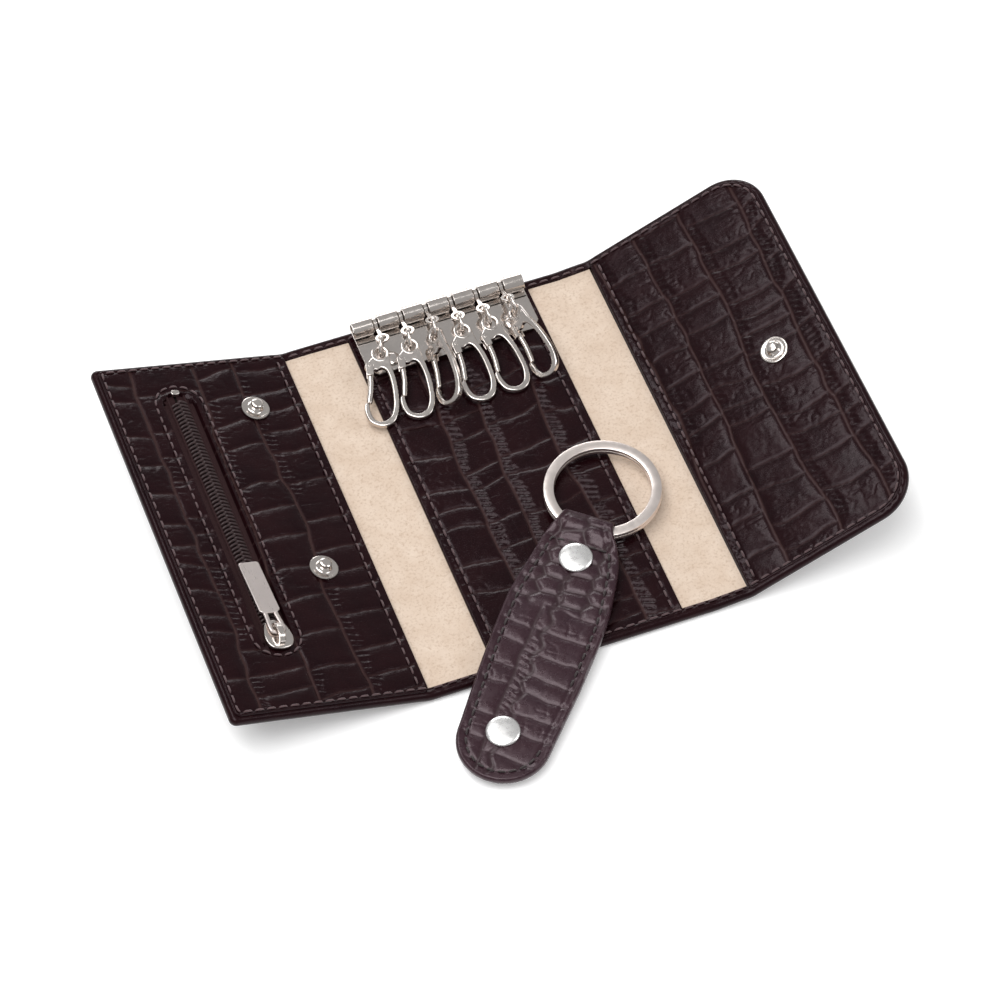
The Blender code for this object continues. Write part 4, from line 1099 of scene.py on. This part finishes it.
def fob_heights(v):
    """The strap's underside and upper side along its length, with the loop round the ring."""
    beyond = [7.0, 8.6, 10.2, 11.4, 12.3, 12.75, 12.9]
    low = np.interp(v, [4.4, 5.8] + beyond, [0.0, -0.9, -1.4, -1.6, -1.6, -1.3, -0.7, 0.0, 0.9])
    top = np.interp(v, [4.4, 5.6] + beyond, [2.0, 2.35, 3.1, 3.4, 3.4, 3.1, 2.5, 1.8, 0.9])
    return low, top


def build_strap(leather, thread):
    loop = fob_outline()
    gx, gy = np.meshgrid(np.arange(-12.8, 14.0, FOB_PITCH), np.arange(-64.7, 13.3, FOB_PITCH), indexing="ij")
    away, nx, ny = outline_distance(gx, gy, loop)
    snap = away > -0.14
    px, py = np.where(snap, nx, gx), np.where(snap, ny, gy)
    d = np.where(snap, 0, -away)
    low, top = fob_heights(py)
    # long scales over most of the strap, small ones near the ring, and a crease down the middle
    big, big_groove = scales(px, py, 83, height=6.4)
    tiny, tiny_groove = pebbles(px, py, 85)
    share = smoothstep((py + 17) / 4)
    spine = np.exp(-((px - 0.8 * np.sin(py * 0.9)) / 0.55) ** 2) * smoothstep((-py - 4) / 4)
    surface = big * (1 - share) + tiny * share - 0.45 * spine
    groove = np.maximum(big_groove * (1 - share) + tiny_groove * share, spine * 0.8)
    fade = smoothstep((d - 0.5) / 1.0)
    skin = top - rolled(d, 0.6, 0.7) * 0.9 + 0.55 * (surface - CREST) * fade - stitch_dent(d, FOB_STITCH, 0.2)
    skin = np.where(d <= 0, top - 0.75, skin)
    fine, _ = scales(px, py, 91)
    back = low + rolled(d, 0.5, 0.6) * 0.9 + stitch_dent(d, FOB_STITCH, 0.15)
    back = np.where(d <= 0, low + 0.6, back) - 0.15 * (fine - CREST) * fade

    strap = shell("fob_leather", (px, py), skin, back, leather, on_fob, groove * fade,
                  lambda quads: snap.ravel()[quads].all(1))
    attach(strap, "fob")
    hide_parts("fob_strap")
    inner = [p for p in inset(turning_left(loop), FOB_STITCH) if p[1] < 4.0]
    start = max(range(len(inner)), key=lambda i: math.dist(inner[i], inner[i - 1]))
    inner = inner[start:] + inner[:start]
    for name, z, normal in (("", 2.0, UP), ("_back", 0.0, DOWN)):
        row = stitches("fob_stitches" + name, [(*p, z) for p in inner], thread, on_fob, normal, 2.0, 2.6)
        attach(row, "fob")


def build_fob_metal(nickel, satin):
    for name, v in (("upper", 0.0), ("lower", -51.2)):
        at = FOB @ Matrix.Translation((0, v, 0))
        hardware(f"fob_cap_{name}_domed", dome(1.95, 4.15, 1.15), at, "fob", nickel, "fob_cap_" + name)
        hardware(f"fob_socket_{name}_turned", socket(-0.02, 1.45), at, "fob", nickel, "fob_socket_" + name)
    droop = math.radians(RING_DROOP)
    centre = FOB @ Matrix.Translation((RING_WIDE, 9.0 + RING_MIDDLE * math.cos(droop),
                                       0.9 + RING_MIDDLE * math.sin(droop)))
    at = centre @ Matrix.Rotation(droop, 4, "X") @ Matrix.Rotation(math.radians(-90), 4, "Z")
    section = [(12.05, -0.52), (14.15, -0.52), (14.33, -0.44), (14.4, -0.27), (14.4, 0.27), (14.33, 0.44),
               (14.15, 0.52), (12.05, 0.52), (11.87, 0.44), (11.8, 0.27), (11.8, -0.27), (11.87, -0.44)]
    stations = []
    for t in np.linspace(0, TURNS, TURN_STEPS + 1):
        lift = -0.545 + 1.09 * smoothstep((t - 0.95) / 0.10)
        turn = math.tau * t * 0.997
        stations.append(((0, 0, lift), (math.cos(turn), math.sin(turn), 0), UP))
    hardware("fob_split_ring", swept(stations, section), at, "fob_ring", satin, "fob_ring", 25)


# ---- studio ----------------------------------------------------------------------------------

FLOOR = 3.0                    # half the floor's size, in metres, as are the lamps' sizes and places
FLOOR_Z = -0.0003
# each lamp's name, place, size and power in watts
LAMPS = (("top", (-0.35, -0.20, 1.20), (0.9, 0.9), 12.0), ("back", (0.25, 1.35, 0.45), (0.8, 0.35), 4.0),
         ("side", (1.2, -0.6, 0.9), (0.6, 0.9), 5.0), ("sheen", (-0.24, 0.48, 0.92), (0.30, 0.36), 2.2))
CAMERA_ANGLES = (-19.78, 53.89, -0.84)    # azimuth, elevation and roll
CAMERA_TARGET, CAMERA_DISTANCE = (-5.55, -7.0, 2.4), 1080.2


def build_studio():
    scene = bpy.context.scene

    def placed(name, data):
        made = bpy.data.objects.new(name, data)
        scene.collection.objects.link(made)
        return made

    look = Look("floor")
    look.set(Base_Color=(0.93, 0.93, 0.93, 1), Roughness=0.9, Emission_Color=(1, 1, 1, 1),
             Emission_Strength=0.22, Specular_IOR_Level=0.1)
    mesh = bpy.data.meshes.new("floor")
    corners = ((-FLOOR, -FLOOR), (FLOOR, -FLOOR), (FLOOR, FLOOR), (-FLOOR, FLOOR))
    mesh.from_pydata([(*corner, FLOOR_Z) for corner in corners], [], [[0, 1, 2, 3]])
    mesh.materials.append(look.material)
    placed("floor", mesh)

    world = bpy.data.worlds.new("studio")
    world.use_nodes = True
    world.node_tree.nodes["Background"].inputs["Color"].default_value = (1, 1, 1, 1)
    world.node_tree.nodes["Background"].inputs["Strength"].default_value = 0.42
    scene.world = world
    for name, place, size, power in LAMPS:
        lamp = bpy.data.lights.new(name, "AREA")
        lamp.shape = "RECTANGLE"
        lamp.size, lamp.size_y = size
        lamp.energy = power
        made = placed(name, lamp)
        made.location = place
        made.rotation_euler = (-Vector(place)).to_track_quat("-Z", "Y").to_euler()

    camera = bpy.data.cameras.new("camera")
    camera.lens, camera.sensor_width = 160.1, 36.0
    camera.clip_start, camera.clip_end = 0.05, 20
    azimuth, elevation, roll = (math.radians(a) for a in CAMERA_ANGLES)
    right = Vector((math.cos(azimuth), math.sin(azimuth), 0))
    level = Vector((math.sin(azimuth), -math.cos(azimuth), 0))
    back = level * math.cos(elevation) + Vector((0, 0, math.sin(elevation)))
    up = back.cross(right)
    side = right * math.cos(roll) + up * math.sin(roll)
    head = up * math.cos(roll) - right * math.sin(roll)
    turn = Matrix((side, head, back)).transposed().to_4x4()
    place = (Vector(CAMERA_TARGET) + back * CAMERA_DISTANCE) * MM
    scene.camera = placed("camera", camera)
    scene.camera.matrix_world = Matrix.Translation(place) @ turn
    scene.view_settings.view_transform = "Standard"


def main():
    leather = leather_look("crocodile_leather", 0.14, 0.06, 0.14, 0.22, 0.0, (0.050, 0.025, 0.023))
    # the fob's leather is glossier, and its lift of 0.012 paints sheen into its base colour
    fob_leather = leather_look("crocodile_leather_painted_sheen", 0.42, 0.15, 0.24, 0.36, 0.012,
                               (0.016, 0.008, 0.008))
    thread = thread_look("thread", (0.045, 0.021, 0.024), (0.105, 0.052, 0.056))
    dark_thread = thread_look("fob_thread", (0.012, 0.006, 0.006), (0.030, 0.016, 0.016))
    lining = cloth_look("lining_weave", (0.010, 0.007, 0.006), (0.030, 0.020, 0.018), 1.4)
    tape = cloth_look("zip_tape_weave", (0.022, 0.009, 0.010), (0.062, 0.030, 0.031), 1.6)
    nickel = metal_look("polished_nickel", (0.66, 0.61, 0.575), 0.13, 0.23)
    bright = metal_look("bright_nickel", (0.91, 0.90, 0.89), 0.24, 0.34)
    satin = metal_look("satin_nickel", (0.78, 0.70, 0.67), 0.26, 0.38, (6.0, 0.6, 1.0))
    ring = metal_look("ring_nickel", (0.80, 0.72, 0.68), 0.28, 0.38)
    build_leather(leather, suede_look(), lining)
    build_stitching(thread)
    build_snaps(nickel)
    build_zip(tape, coil_look())
    build_slider(nickel, satin)
    build_key_bar(nickel)
    build_hooks(nickel)
    build_strap(fob_leather, dark_thread)
    build_fob_metal(bright, ring)
    build_studio()


main()
